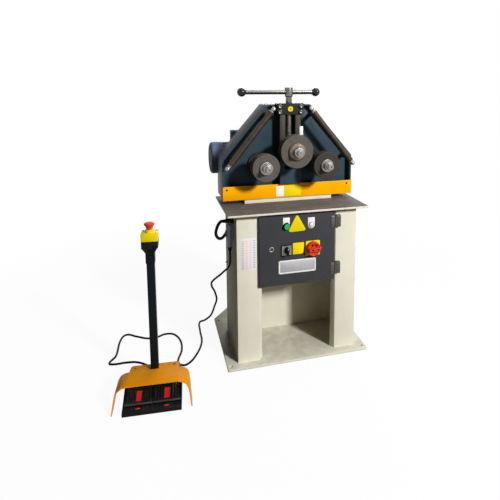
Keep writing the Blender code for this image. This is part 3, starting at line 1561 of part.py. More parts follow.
def build_motor(blue, black):
    """The ribbed motor with its terminal box, and the fan cover at its far end."""
    right = -GEARBOX_WIDTH / 2 - GEARBOX_SHIFT - MOTOR_FLANGE_LENGTH - GAP
    left = right - MOTOR_LENGTH
    outline = []
    turn = 2 * math.pi / MOTOR_RIBS
    for rib in range(MOTOR_RIBS):
        for radius, share in (
            (MOTOR_RADIUS, -RIB_WIDTH_SHARE / 2),
            (MOTOR_RADIUS, RIB_WIDTH_SHARE / 2),
            (MOTOR_RADIUS - RIB_DEPTH, RIB_WIDTH_SHARE),
            (MOTOR_RADIUS - RIB_DEPTH, 1 - RIB_WIDTH_SHARE),
        ):
            angle = turn * (rib + share)
            outline.append((GEARBOX_Y + radius * math.cos(angle), MOTOR_Z + radius * math.sin(angle)))
    mesh = bmesh.new()
    add_prism(mesh, outline, left + END_SHIELD_LENGTH / 2, right - END_SHIELD_LENGTH / 2, X_AXIS)
    motor = finish("motor", mesh, blue)
    for low, high in ((left, left + END_SHIELD_LENGTH), (right - END_SHIELD_LENGTH, right)):
        shield = bmesh.new()
        add_prism(shield, circle(GEARBOX_Y, MOTOR_Z, MOTOR_RADIUS + EDGE), low, high, X_AXIS)
        join(motor, shield)
    box = bmesh.new()
    box_left = left + TERMINAL_FROM_COVER
    base = MOTOR_Z + MOTOR_RADIUS
    outline = [
        (GEARBOX_Y - TERMINAL_DEPTH / 2, base - 2 * RIB_DEPTH),
        (GEARBOX_Y + TERMINAL_DEPTH / 2, base - 2 * RIB_DEPTH),
        (GEARBOX_Y + TERMINAL_DEPTH / 2, base + TERMINAL_HEIGHT - RIB_DEPTH),
        (GEARBOX_Y + TERMINAL_DEPTH / 2 - RIB_DEPTH, base + TERMINAL_HEIGHT),
        (GEARBOX_Y - TERMINAL_DEPTH / 2 + RIB_DEPTH, base + TERMINAL_HEIGHT),
        (GEARBOX_Y - TERMINAL_DEPTH / 2, base + TERMINAL_HEIGHT - RIB_DEPTH),
    ]
    add_prism(box, outline, box_left, box_left + TERMINAL_WIDTH, X_AXIS)
    join(motor, box)

    right = left - GAP
    end = right - FAN_COVER_LENGTH
    profile = [(0, end + FAN_RECESS_DEPTH), (FAN_RECESS_RADIUS, end + FAN_RECESS_DEPTH), (FAN_RECESS_RADIUS, end)]
    for step in range(ARC_STEPS + 1):
        angle = math.pi / 2 * step / ARC_STEPS
        profile.append(
            (
                FAN_COVER_RADIUS - FAN_COVER_ROUND + FAN_COVER_ROUND * math.sin(angle),
                end + FAN_COVER_ROUND - FAN_COVER_ROUND * math.cos(angle),
            )
        )
    profile.append((FAN_COVER_RADIUS, right))
    mesh = bmesh.new()
    add_turned(mesh, profile, (GEARBOX_Y, MOTOR_Z), X_AXIS)
    finish("fan_cover", mesh, black)


# Foot-pedal unit


def build_foot_base(black, place_of_unit):
    """The pedal housing: floor, rising side walls, switch block at the rear and cable gland."""
    half = FOOT_WIDTH / 2
    block = FOOT_DEPTH - FOOT_BLOCK_DEPTH
    mesh = bmesh.new()
    side_view = [
        (0, 0),
        (FOOT_DEPTH, 0),
        (FOOT_DEPTH, FOOT_HEIGHT),
        (block, FOOT_HEIGHT),
        (FOOT_LEDGE, FOOT_FRONT_HEIGHT + FOOT_LEDGE_RISE),
        (0, FOOT_FRONT_HEIGHT),
    ]
    add_prism(mesh, side_view, -half, half, X_AXIS)
    base = finish("pedal_base", mesh, black, parent=place_of_unit)
    wells = bmesh.new()
    inner = FOOT_DIVIDER / 2
    outer = inner + TREAD_WIDTH + 2 * GAP
    for x in ((-outer, -inner), (inner, outer)):
        add_box(wells, x, (FOOT_LEDGE, block), (FOOT_FLOOR, FOOT_HEIGHT + OVERRUN))
    cut(base, wells)
    pins = bmesh.new()
    reach = outer + TREAD_PIN_REACH
    ring = circle(TREAD_PIVOT_Y, TREAD_PIVOT_Z, TREAD_PIN_RADIUS + GAP, SMALL_STEPS)
    add_prism(pins, ring, -reach, reach, X_AXIS)
    cut(base, pins)
    gland = bmesh.new()
    ring = circle(FOOT_GLAND_X, FOOT_GLAND_Z, FOOT_GLAND_RADIUS, SMALL_STEPS)
    add_prism(gland, ring, FOOT_DEPTH - EDGE, FOOT_DEPTH + FOOT_GLAND_LENGTH, Y_AXIS)
    join(base, gland)


def build_treads(black, place_of_unit):
    """Two ribbed treads, each hinged along its front edge."""
    cosine = math.cos(TREAD_SLOPE)
    sine = math.sin(TREAD_SLOPE)
    for side, name in ((-1, "left_pedal"), (1, "right_pedal")):
        inner = FOOT_DIVIDER / 2 + GAP
        low_x = inner if side > 0 else -inner - TREAD_WIDTH
        pivot = Vector((low_x + TREAD_WIDTH / 2, TREAD_PIVOT_Y, TREAD_PIVOT_Z))
        barrel = bmesh.new()
        ring = circle(TREAD_PIVOT_Y, TREAD_PIVOT_Z, TREAD_BARREL_RADIUS, SMALL_STEPS)
        add_prism(barrel, ring, low_x, low_x + TREAD_WIDTH, X_AXIS)
        pedal = finish(name, barrel, black, pivot, place_of_unit)
        pin = bmesh.new()
        ring = circle(TREAD_PIVOT_Y, TREAD_PIVOT_Z, TREAD_PIN_RADIUS, SMALL_STEPS)
        add_prism(pin, ring, low_x - TREAD_PIN_REACH, low_x + TREAD_WIDTH + TREAD_PIN_REACH, X_AXIS)
        join(pedal, pin)
        tread = bmesh.new()
        pitch = TREAD_WIDTH / TREAD_RIBS
        outline = [(low_x + TREAD_WIDTH, 0), (low_x, 0)]
        for rib in range(TREAD_RIBS):
            left = low_x + pitch * rib
            outline += [
                (left, TREAD_THICKNESS),
                (left + pitch / 4, TREAD_THICKNESS + TREAD_RIB_HEIGHT),
                (left + pitch / 2, TREAD_THICKNESS + TREAD_RIB_HEIGHT),
                (left + pitch * 3 / 4, TREAD_THICKNESS),
            ]
        outline.append((low_x + TREAD_WIDTH, TREAD_THICKNESS))
        loops = []
        for run in (0, TREAD_LENGTH):
            loops.append(
                [
                    tread.verts.new(
                        (
                            a,
                            TREAD_PIVOT_Y + run * cosine - b * sine,
                            TREAD_PIVOT_Z - TREAD_THICKNESS / 2 + run * sine + b * cosine,
                        )
                    )
                    for a, b in outline
                ]
            )
        tread.faces.new(loops[0])
        tread.faces.new(loops[1][::-1])
        for index in range(len(outline)):
            after = (index + 1) % len(outline)
            tread.faces.new((loops[0][index], loops[1][index], loops[1][after], loops[0][after]))
        join(pedal, tread)


def build_hood(amber, place_of_unit):
    """The bent sheet hood: rear flange, rising top and a cut-away wing at each side."""
    half = HOOD_WIDTH / 2
    rear = FOOT_DEPTH
    bend = rear - HOOD_FLANGE
    front = bend - HOOD_BEND - HOOD_REACH
    path = [
        (front, HOOD_Z + HOOD_FRONT_RISE),
        (bend - HOOD_BEND, HOOD_Z + HOOD_REAR_RISE),
        (bend, HOOD_Z),
        (rear, HOOD_Z),
    ]
    mesh = bmesh.new()
    add_prism(mesh, folded(path, HOOD_SHEET), -half, half, X_AXIS)
    hood = finish("pedal_hood", mesh, amber, parent=place_of_unit)
    wing_front = WING_TIP_Y
    wing_rear = bend - HOOD_BEND
    rise = HOOD_Z + HOOD_FRONT_RISE
    side_cut = [
        (wing_front, WING_FLOOR_GAP),
        (wing_front + WING_TIP_WIDTH, WING_FLOOR_GAP),
        (wing_rear, HOOD_Z),
        (wing_rear, HOOD_Z + HOOD_REAR_RISE + HOOD_SHEET),
        (front, rise + HOOD_SHEET),
    ]
    for side in (-1, 1):
        path = [(side * (half - HOOD_SHEET), rise + HOOD_SHEET)]
        for step in range(1, WING_KNEE_STEPS + 1):
            angle = math.pi / 2 * step / WING_KNEE_STEPS
            out = half + WING_KNEE_OUT * math.sin(angle)
            drop = WING_KNEE_DROP * (1 - math.cos(angle))
            path.append((side * out, rise + HOOD_SHEET - drop))
        path.append((side * (half + WING_OUT), WING_FLOOR_GAP))
        wing = bmesh.new()
        outline = folded(path, -side * HOOD_SHEET)
        add_wing(wing, outline, (wing_front, wing_rear, HOOD_FRONT_RISE - HOOD_REAR_RISE))
        trim = bmesh.new()
        reach = half + WING_OUT + OVERRUN
        inner = half - HOOD_SHEET - OVERRUN
        add_prism(trim, side_cut, side * inner, side * reach, X_AXIS)
        wing_piece = finish(f"wing_{'left' if side < 0 else 'right'}", wing, None, parent=place_of_unit)
        wing_piece.hide_render = True
        keep(wing_piece, trim)
        weld = hood.modifiers.new("union", "BOOLEAN")
        weld.operation = "UNION"
        weld.solver = "EXACT"
        weld.object = wing_piece
    corners = bmesh.new()
    for x in (-half, half):
        ring = circle(x, rear, HOOD_CORNER, 4)
        add_prism(corners, ring, HOOD_Z - OVERRUN, HOOD_Z + HOOD_SHEET + OVERRUN)
    cut(hood, corners)


def add_wing(mesh, outline, run):
    """Adds a wing whose top edge falls with the hood from front to rear."""
    low, high, fall = run
    top = max(b for _, b in outline)
    loops = []
    for y, drop in ((low, -fall / 3), (high, fall)):
        loops.append([mesh.verts.new((a, y, b - drop * max(b, 0) / top)) for a, b in outline])
    mesh.faces.new(loops[0])
    mesh.faces.new(loops[1][::-1])
    for index in range(len(outline)):
        after = (index + 1) % len(outline)
        mesh.faces.new((loops[0][index], loops[1][index], loops[1][after], loops[0][after]))


def build_station(black, yellow, red, place_of_unit):
    """The pole with the emergency-stop station: socket and base, cover and mushroom button."""
    half = POLE_SIDE / 2
    foot = HOOD_Z + HOOD_SHEET + GAP
    mesh = bmesh.new()
    add_box(mesh, (-half, half), (POLE_Y - half, POLE_Y + half), (foot, STATION_LOW - GAP))
    finish("pole", mesh, black, parent=place_of_unit, edge=EDGE)

    wide = STATION_SIDE / 2
    deep = STATION_DEPTH / 2
    neck = half + SOCKET_WALL
    base_top = STATION_LOW + STATION_BASE
    mesh = bmesh.new()
    outline = rounded(rectangle(-wide, wide, POLE_Y - deep, POLE_Y + deep), 3 * EDGE, 2)
    add_prism(mesh, outline, STATION_LOW, base_top)
    base = finish("estop_base", mesh, black, parent=place_of_unit)
    socket = bmesh.new()
    loops = []
    for reach, z in ((neck, STATION_LOW - SOCKET_LENGTH), (neck, STATION_LOW - SOCKET_LENGTH / 3), (deep, STATION_LOW + EDGE)):
        corners = rectangle(-reach, reach, POLE_Y - reach, POLE_Y + reach)
        loops.append([socket.verts.new((a, b, z)) for a, b in corners])
    socket.faces.new(loops[0])
    socket.faces.new(loops[-1])
    for first, second in zip(loops, loops[1:]):
        for index in range(4):
            after = (index + 1) % 4
            socket.faces.new((first[index], first[after], second[after], second[index]))
    join(base, socket)
    bore = bmesh.new()
    inside = half + GAP
    add_box(
        bore,
        (-inside, inside),
        (POLE_Y - inside, POLE_Y + inside),
        (STATION_LOW - SOCKET_LENGTH - OVERRUN, STATION_LOW),
    )
    cut(base, bore)

    cover_low = base_top + GAP
    cover_top = cover_low + STATION_COVER
    collar_top = cover_top + STATION_COLLAR
    mesh = bmesh.new()
    add_prism(mesh, outline, cover_low, cover_top)
    cover = finish("estop_cover", mesh, yellow, parent=place_of_unit)
    collar = bmesh.new()
    add_prism(collar, circle(0, POLE_Y, STATION_COLLAR_RADIUS), cover_top - EDGE, collar_top)
    join(cover, collar)
    bore = bmesh.new()
    bore_low = cover_low + STATION_COVER / 2
    add_prism(bore, circle(0, POLE_Y, STEM_RADIUS + GAP, SMALL_STEPS), bore_low, collar_top + OVERRUN)
    cut(cover, bore)

    under = collar_top + MUSHROOM_LIFT
    top = under + MUSHROOM_HEIGHT
    mesh = bmesh.new()
    add_turned(
        mesh,
        [
            (STEM_RADIUS, under - STATION_COLLAR),
            (STEM_RADIUS, under),
            (MUSHROOM_NECK, under),
            (MUSHROOM_NECK, under + MUSHROOM_HEIGHT / 4),
            (MUSHROOM_RADIUS, under + MUSHROOM_HEIGHT * 2 / 3),
            (MUSHROOM_RADIUS, under + MUSHROOM_HEIGHT * 5 / 6),
            (MUSHROOM_RADIUS * 3 / 4, top - EDGE),
            (0, top),
        ],
        (0, POLE_Y),
    )
    finish("estop_button", mesh, red, (0, POLE_Y, under), place_of_unit)


# Cords and what they come out of


def build_gland_and_coupler(black, slate):
    """The gland on the column's side and the cable coupler that hangs from it."""
    seat = -COLUMN_OUTSIDE - GAP
    end = seat - GLAND_LENGTH
    mesh = bmesh.new()
    add_turned(
        mesh,
        [
            (GLAND_RADIUS - EDGE, end),
            (GLAND_RADIUS, end + EDGE),
            (GLAND_RADIUS, seat - GLAND_NUT_LENGTH),
            (GLAND_NUT_RADIUS, seat - GLAND_NUT_LENGTH),
            (GLAND_NUT_RADIUS, seat),
        ],
        (GLAND_Y, GLAND_Z),
        X_AXIS,
        SMALL_STEPS,
    )
    finish("cable_gland", mesh, black)

    low = COUPLER_Z - COUPLER_LENGTH
    cap = low - COUPLER_CAP_LENGTH
    mesh = bmesh.new()
    add_turned(
        mesh,
        [
            (CABLE_RADIUS + EDGE, cap),
            (COUPLER_CAP_RADIUS, cap + COUPLER_CAP_LENGTH / 2),
            (COUPLER_CAP_RADIUS, low),
            (COUPLER_TAPER_RADIUS, low),
            (COUPLER_RADIUS, COUPLER_Z - COUPLER_STRAIGHT),
            (COUPLER_RADIUS, COUPLER_Z - EDGE),
            (COUPLER_RADIUS - EDGE, COUPLER_Z),
        ],
        (COUPLER_X, GLAND_Y),
        steps=SMALL_STEPS,
    )
    coupler = finish("cable_coupler", mesh, slate)
    foot = bmesh.new()
    top = COUPLER_Z - COUPLER_FOOT_DROP
    add_box(
        foot,
        (COUPLER_X, seat),
        (GLAND_Y - COUPLER_FOOT_WIDTH / 2, GLAND_Y + COUPLER_FOOT_WIDTH / 2),
        (top - COUPLER_FOOT_HEIGHT, top),
    )
    join(coupler, foot)


def build_foot_unit():
    """The whole foot-pedal unit, under one empty that places and turns it."""
    unit = bpy.data.objects.new("pedal_unit_place", None)
    bpy.context.scene.collection.objects.link(unit)
    unit.location = (PEDAL_X, PEDAL_Y, 0)
    unit.rotation_euler = (0, 0, PEDAL_YAW)
    black = material("black_plastic", (0.015, 0.016, 0.018), 0.45)
    build_foot_base(black, unit)
    build_treads(black, unit)
    build_hood(material("amber_paint", (0.72, 0.33, 0.03), 0.4), unit)
    yellow = material("signal_yellow", (0.85, 0.72, 0.01), 0.4)
    red = material("signal_red", (0.72, 0.04, 0.03), 0.35)
    build_station(black, yellow, red, unit)


def build_rolls_and_shafts():
    """Upper and lower shafts with their rolls, nuts and bearings."""
    steel = material("turned_steel", (0.28, 0.25, 0.22), 0.4, 0.9)
    bright = material("bright_steel", (0.62, 0.62, 0.6), 0.3, 1.0)
    upper_rear = PLATE_REAR + GAP + SLIDE_REAR + GAP
    build_shaft("upper_shaft", 0, UPPER_Z, -GUIDE_PROUD - COLLAR_PLAY, None, bright, upper_rear)
    build_roll("upper", 0, UPPER_Z, UPPER_ROLL_RADIUS, steel)
    spacer_front = build_end_spacer(steel)
    build_lock_nut("upper_lock_nut", 0, UPPER_Z, spacer_front, UPPER_NUT_RADIUS, None, bright)
    washer = (NUT_WASHER_RADIUS, NUT_WASHER_THICKNESS)
    snout_front = PLATE_FRONT - GAP - SNOUT_LENGTH
    for side, prefix in ((-1, "left"), (1, "right")):
        x = side * LOWER_X
        build_shaft(f"{prefix}_shaft", x, LOWER_Z, snout_front - COLLAR_PLAY, COVER_REAR, bright)
        build_roll(prefix, x, LOWER_Z, LOWER_ROLL_RADIUS, steel)
        front = -ROLL_FRONT - GAP
        build_lock_nut(f"{prefix}_lock_nut", x, LOWER_Z, front, LOWER_NUT_RADIUS, washer, bright)
        build_bearing(f"{prefix}_bearing", x, steel)
    build_gears(steel)


def build():
    """Clears the scene and builds every piece."""
    for old in list(bpy.data.objects):
        bpy.data.objects.remove(old)
    cream = material("cream_paint", (0.74, 0.69, 0.55), 0.5)
    blue = material("petrol_blue_paint", (0.03, 0.055, 0.085), 0.4)
    blue_grey = material("blue_grey_paint", (0.12, 0.15, 0.19), 0.4)
    black = material("black_fitting", (0.02, 0.02, 0.022), 0.5)
    steel = material("plain_steel", (0.5, 0.5, 0.48), 0.35, 1.0)
    zinc = material("zinc_plate", (0.6, 0.6, 0.58), 0.4, 0.9)
    chrome = material("chrome", (0.8, 0.8, 0.8), 0.15, 1.0)
    brown = material("oiled_steel", (0.14, 0.09, 0.06), 0.4, 0.7)
    build_base_plate(cream)
    build_columns(cream)
    build_back_panel(cream)
    build_table(brown, cream)
    build_cabinet_box(zinc)
    build_component_plate(zinc)
    build_door(material("charcoal_paint", (0.05, 0.05, 0.055), 0.5))
    build_door_hinges(zinc)
    build_door_controls(
        chrome,
        material("signal_green", (0.0, 0.45, 0.14), 0.35),
        material("lens_white", (0.85, 0.85, 0.82), 0.3),
        black,
        material("switch_red", (0.7, 0.08, 0.05), 0.35),
    )
    build_head_shell(blue_grey)
    build_front_plate(blue)
    build_rear_cover(blue)
    build_guard_strip(material("guard_yellow", (0.9, 0.5, 0.0), 0.4))
    build_guide_housing(blue)
    build_top_bracket(blue)
    build_slide(steel)
    build_screw(steel)
    build_t_bar(chrome)
    build_guide_bars(brown)
    build_rolls_and_shafts()
    build_gearbox(blue)
    build_motor(blue, black)
    build_foot_unit()
    build_gland_and_coupler(black, material("coupler_slate", (0.14, 0.19, 0.27), 0.45))
    rubber = material("black_rubber", (0.012, 0.012, 0.013), 0.55)
    cord("short_lead", SHORT_LEAD_ROUTE, LEAD_RADIUS, rubber)
    cord("pedal_cable", PEDAL_CABLE_ROUTE, CABLE_RADIUS, rubber)


build()
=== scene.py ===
"""The look of the ring roller: camera, light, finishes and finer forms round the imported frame.

All places are in millimetres in the frame's own axes, as in the part's source: X is across the
machine, -Y its front, and Z is up from the floor. A shape is made at its place, so each piece's
object stays at the origin.
"""

import json
import logging
import math
from contextlib import contextmanager
from dataclasses import dataclass, field
from enum import Enum
from functools import cache
from typing import Any, Callable, Iterator, Optional, Sequence

import bpy
from mathutils import Matrix, Vector

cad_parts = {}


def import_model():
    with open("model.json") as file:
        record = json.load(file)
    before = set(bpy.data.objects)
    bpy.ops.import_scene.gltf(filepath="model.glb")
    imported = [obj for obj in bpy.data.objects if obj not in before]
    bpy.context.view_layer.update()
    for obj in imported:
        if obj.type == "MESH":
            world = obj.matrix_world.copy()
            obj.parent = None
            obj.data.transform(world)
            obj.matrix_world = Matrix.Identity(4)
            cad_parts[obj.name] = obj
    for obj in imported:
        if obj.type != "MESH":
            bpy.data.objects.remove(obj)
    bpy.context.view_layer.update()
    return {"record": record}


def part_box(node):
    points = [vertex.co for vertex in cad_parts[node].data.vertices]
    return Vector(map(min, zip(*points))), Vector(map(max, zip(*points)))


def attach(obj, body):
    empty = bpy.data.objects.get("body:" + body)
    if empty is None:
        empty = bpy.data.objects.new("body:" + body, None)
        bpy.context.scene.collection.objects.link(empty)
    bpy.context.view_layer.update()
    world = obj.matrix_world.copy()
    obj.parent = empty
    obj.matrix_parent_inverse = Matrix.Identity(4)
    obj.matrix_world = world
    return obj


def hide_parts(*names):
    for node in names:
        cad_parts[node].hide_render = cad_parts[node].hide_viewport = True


LOG = logging.getLogger("ring_roller")
MM = 0.001
GAP = 0.3
Spot = Sequence[float]
Pair = tuple[float, float]
Place = tuple[float, float, float]
Colour = tuple[float, float, float, float]
Outline = Sequence[Pair]
Test = Callable[[Any], bool]


class Axis(Enum):
    """The direction along which a profile or an outline runs."""

    X = 0
    Y = 1
    Z = 2

    def spot(self, a: float, b: float, along: float) -> Vector:
        """Returns the place, in metres, of a point given across and along this axis."""
        order = {Axis.X: (along, a, b), Axis.Y: (a, along, b), Axis.Z: (a, b, along)}
        return Vector(order[self]) * MM

    def direction(self) -> Vector:
        """Returns the axis as a unit vector."""
        return Vector([float(index == self.value) for index in range(3)])


def tone(code: str) -> Colour:
    """Returns the linear colour of a display colour written as six hex digits.

    Args:
        code: The colour as six hex digits.

    Returns:
        Red, green, blue and alpha.
    """
    shares = [int(code[index : index + 2], 16) / 255 for index in (0, 2, 4)]
    red, green, blue = (s / 12.92 if s <= 0.04045 else ((s + 0.055) / 1.055) ** 2.4 for s in shares)
    return (red, green, blue, 1.0)


def arc(a: float, b: float, radius: float, start: float, end: float, steps: int = 8) -> list[Pair]:
    """Returns points along an arc.

    Args:
        a: The centre's first coordinate.
        b: The centre's second coordinate.
        radius: The arc's radius.
        start: The first angle in degrees.
        end: The last angle in degrees.
        steps: How many straight pieces it has.

    Returns:
        The points, with both ends.
    """
    angles = [math.radians(start + (end - start) * step / steps) for step in range(steps + 1)]
    return [(a + radius * math.cos(angle), b + radius * math.sin(angle)) for angle in angles]


def ring(a: float, b: float, radius: float, steps: int = 40) -> list[Pair]:
    """Returns a circle's points, anticlockwise."""
    return arc(a, b, radius, 0, 360, steps)[:-1]


def soft(corners: Outline, radius: float, steps: int = 5) -> list[Pair]:
    """Returns a polygon with round corners.

    Args:
        corners: Its corners, anticlockwise.
        radius: The corners' radius.
        steps: How many straight pieces each corner has.

    Returns:
        The outline's points.
    """
    points: list[Pair] = []
    for index, corner in enumerate(corners):
        here = Vector(corner)
        back = (Vector(corners[index - 1]) - here).normalized()
        onward = (Vector(corners[(index + 1) % len(corners)]) - here).normalized()
        half = back.angle(onward) / 2
        centre = here + (back + onward).normalized() * radius / math.sin(half)
        start = math.degrees(math.atan2(back.x, -back.y))
        points += arc(centre.x, centre.y, radius, start, start + 180 - math.degrees(2 * half), steps)
    return points


def plate_outline(a: Spot, b: Spot, corner: float) -> list[Pair]:
    """Returns a rectangle with round corners, given its lowest and highest coordinates."""
    return soft([(a[0], b[0]), (a[1], b[0]), (a[1], b[1]), (a[0], b[1])], corner)


def moved(x: float, y: float, z: float) -> Matrix:
    """Returns a move by millimetres."""
    return Matrix.Translation(Vector((x, y, z)) * MM)


def hexagon(a: float, b: float, flats: float) -> list[Pair]:
    """Returns a hexagon by the distance between its flats."""
    return arc(a, b, flats / math.sqrt(3), 0, 360, 6)[:-1]


class Shape:
    """A piece in the making: one mesh object, shaped with Blender's own tools."""

    def __init__(self, thing: bpy.types.Object) -> None:
        """Takes the object that is shaped."""
        self.object = thing

    @staticmethod
    def clear() -> None:
        """Leaves edit mode and deselects everything."""
        if bpy.context.mode != "OBJECT":
            bpy.ops.object.mode_set(mode="OBJECT")
        bpy.ops.object.select_all(action="DESELECT")

    def pick(self) -> None:
        """Makes this piece the only one selected, and the active one."""
        Shape.clear()
        self.object.select_set(True)
        bpy.context.view_layer.objects.active = self.object

    @contextmanager
    def bench(self) -> Iterator[None]:
        """Opens the piece in edit mode with all of it selected, and closes it afterwards."""
        self.pick()
        bpy.ops.object.mode_set(mode="EDIT")
        bpy.ops.mesh.select_mode(type="VERT")
        bpy.ops.mesh.select_all(action="SELECT")
        yield
        bpy.ops.object.mode_set(mode="OBJECT")

    @classmethod
    def started(cls, name: str) -> "Shape":
        """Takes over the primitive that was just added, its place put into its mesh."""
        thing = bpy.context.object
        thing.name = name
        thing.data.name = name
        bpy.ops.object.transform_apply(location=True, rotation=True, scale=True)
        return cls(thing)

    @classmethod
    def line(cls, name: str, points: Sequence[Vector], close: bool = False) -> "Shape":
        """Starts a piece as a line drawn from point to point.

        Args:
            name: The piece's name.
            points: The line's points in metres.
            close: Whether the line is filled with a face.

        Returns:
            The piece.
        """
        cls.clear()
        bpy.ops.mesh.primitive_plane_add(size=MM, location=points[0])
        piece = cls.started(name)
        with piece.bench():
            bpy.ops.mesh.merge(type="CENTER")
            for here, after in zip(points, points[1:]):
                bpy.ops.mesh.extrude_region_move(TRANSFORM_OT_translate={"value": after - here})
            if close:
                bpy.ops.mesh.select_all(action="SELECT")
                bpy.ops.mesh.edge_face_add()
        return piece

    @classmethod
    def turned(
        cls, name: str, profile: Outline, centre: Pair = (0, 0), steps: int = 48, axis: Axis = Axis.Y
    ) -> "Shape":
        """Turns a piece from a profile of (radius, place along the axis) points.

        Args:
            name: The piece's name.
            profile: The profile, from end to end. One that starts off the axis is closed.
            centre: Where the axis runs.
            steps: How many faces go round.
            axis: The axis's direction.

        Returns:
            The piece.
        """
        middle = axis.spot(centre[0], centre[1], 0)
        closed = [*profile, profile[0]] if profile[0][0] > 0 else profile
        points = [axis.spot(centre[0] + radius, centre[1], along) for radius, along in closed]
        piece = cls.line(name, points)
        with piece.bench():
            bpy.ops.mesh.spin(
                steps=steps, angle=math.tau, center=middle, axis=axis.direction(), use_auto_merge=True
            )
        return piece.tidied()

    @classmethod
    def prism(cls, name: str, outline: Outline, low: float, high: float, axis: Axis = Axis.Y) -> "Shape":
        """Extrudes an outline along an axis.

        Args:
            name: The piece's name.
            outline: The outline's points across the axis.
            low: Where it starts along the axis.
            high: Where it ends.
            axis: The axis.

        Returns:
            The piece.
        """
        piece = cls.line(name, [axis.spot(a, b, low) for a, b in outline], close=True)
        with piece.bench():
            move = {"value": axis.direction() * (high - low) * MM}
            bpy.ops.mesh.extrude_region_move(TRANSFORM_OT_translate=move)
        return piece.tidied()

    @classmethod
    def block(cls, name: str, x: Spot, y: Spot, z: Spot) -> "Shape":
        """Starts a piece as a block between three (low, high) pairs."""
        cls.clear()
        middle = [(pair[0] + pair[1]) / 2 * MM for pair in (x, y, z)]
        size = [(pair[1] - pair[0]) * MM for pair in (x, y, z)]
        bpy.ops.mesh.primitive_cube_add(size=1, location=middle, scale=size)
        return cls.started(name)

    @classmethod
    def from_node(cls, node: str, name: str = "") -> "Shape":
        """Starts a finer piece from a CAD node: its own mesh, merged and its flat faces joined.

        Args:
            node: The node's name.
            name: The piece's name, if it isn't the node's with a suffix.

        Returns:
            The piece.
        """
        cls.clear()
        source = bpy.data.objects[node]
        thing = bpy.data.objects.new(name or f"{node}_fine", source.data.copy())
        bpy.context.scene.collection.objects.link(thing)
        thing.data.materials.clear()
        piece = cls(thing)
        with piece.bench():
            bpy.ops.mesh.remove_doubles(threshold=0.02 * MM)
            bpy.ops.mesh.dissolve_limited(angle_limit=math.radians(0.6))
        return piece

    @classmethod
    def cord(cls, name: str, points: Sequence[Vector], radius: float) -> "Shape":
        """Starts a piece as a round cord.

        Args:
            name: The piece's name.
            points: The points that it runs through, in metres.
            radius: Its radius.

        Returns:
            The piece, still a curve.
        """
        curve = bpy.data.curves.new(name, "CURVE")
        curve.dimensions = "3D"
        curve.bevel_depth = radius * MM
        curve.bevel_resolution = 5
        curve.resolution_u = 12
        curve.use_fill_caps = True
        spline = curve.splines.new("BEZIER")
        spline.bezier_points.add(len(points) - 1)
        for index, point in enumerate(spline.bezier_points):
            here = points[index]
            before = points[max(index - 1, 0)]
            after = points[min(index + 1, len(points) - 1)]
            along = (after - before).normalized()
            if here.z < (radius + 1) * MM:
                along.z = 0
            point.handle_left_type = "FREE"
            point.handle_right_type = "FREE"
            point.co = here
            point.handle_left = here - along * (here - before).length / 3
            point.handle_right = here + along * (after - here).length / 3
        thing = bpy.data.objects.new(name, curve)
        bpy.context.scene.collection.objects.link(thing)
        return cls(thing)

    def tidied(self) -> "Shape":
        """Merges doubled points and turns all faces outwards."""
        with self.bench():
            bpy.ops.mesh.remove_doubles(threshold=0.01 * MM)
            bpy.ops.mesh.normals_make_consistent(inside=False)
        return self

    def choose(self, wanted: Test) -> int:
        """Selects, from edit mode, the faces that a test accepts.

        Args:
            wanted: The test, given a face with its centre and normal.

        Returns:
            How many were chosen.
        """
        bpy.ops.mesh.select_all(action="DESELECT")
        bpy.ops.mesh.select_mode(type="FACE")
        bpy.ops.object.mode_set(mode="OBJECT")
        found = 0
        for face in self.object.data.polygons:
            face.select = wanted(face)
            found += face.select
        bpy.ops.object.mode_set(mode="EDIT")
        return found

    def sunk(self, wanted: Test, rim: float, depth: float) -> "Shape":
        """Insets the chosen faces and sinks them.

        Args:
            wanted: Which faces.
            rim: How much of their edge stays.
            depth: How far they sink; a negative depth raises them.

        Returns:
            This piece.
        """
        with self.bench():
            if self.choose(wanted):
                bpy.ops.mesh.inset(thickness=rim * MM, depth=-depth * MM)
        return self

    def bevelled(self, width: float, segments: int = 2, angle: float = 28) -> "Shape":
        """Rounds the sharp edges.

        Args:
            width: The rounding's width.
            segments: How many faces it has.
            angle: The angle in degrees from which an edge is sharp.

        Returns:
            This piece.
        """
        self.pick()
        modifier = self.object.modifiers.new("rounding", "BEVEL")
        modifier.width = width * MM
        modifier.segments = segments
        modifier.limit_method = "ANGLE"
        modifier.angle_limit = math.radians(angle)
        modifier.miter_outer = "MITER_ARC"
        bpy.ops.object.modifier_apply(modifier=modifier.name)
        return self

    def without(self, other: "Shape") -> "Shape":
        """Cuts another piece out of this one, and removes it."""
        return self.combined(other, "DIFFERENCE")

    def combined(self, other: "Shape", operation: str = "UNION") -> "Shape":
        """Combines this piece with another one, which is removed."""
        self.pick()
        modifier = self.object.modifiers.new("combine", "BOOLEAN")
        modifier.operation = operation
        modifier.solver = "EXACT"
        modifier.use_self = True
        modifier.object = other.object
        bpy.ops.object.modifier_apply(modifier=modifier.name)
        bpy.data.objects.remove(other.object)
        return self

    def with_parts(self, *others: "Shape") -> "Shape":
        """Joins other pieces to this one as they are."""
        self.pick()
        for other in others:
            other.object.select_set(True)
        bpy.ops.object.join()
        return self

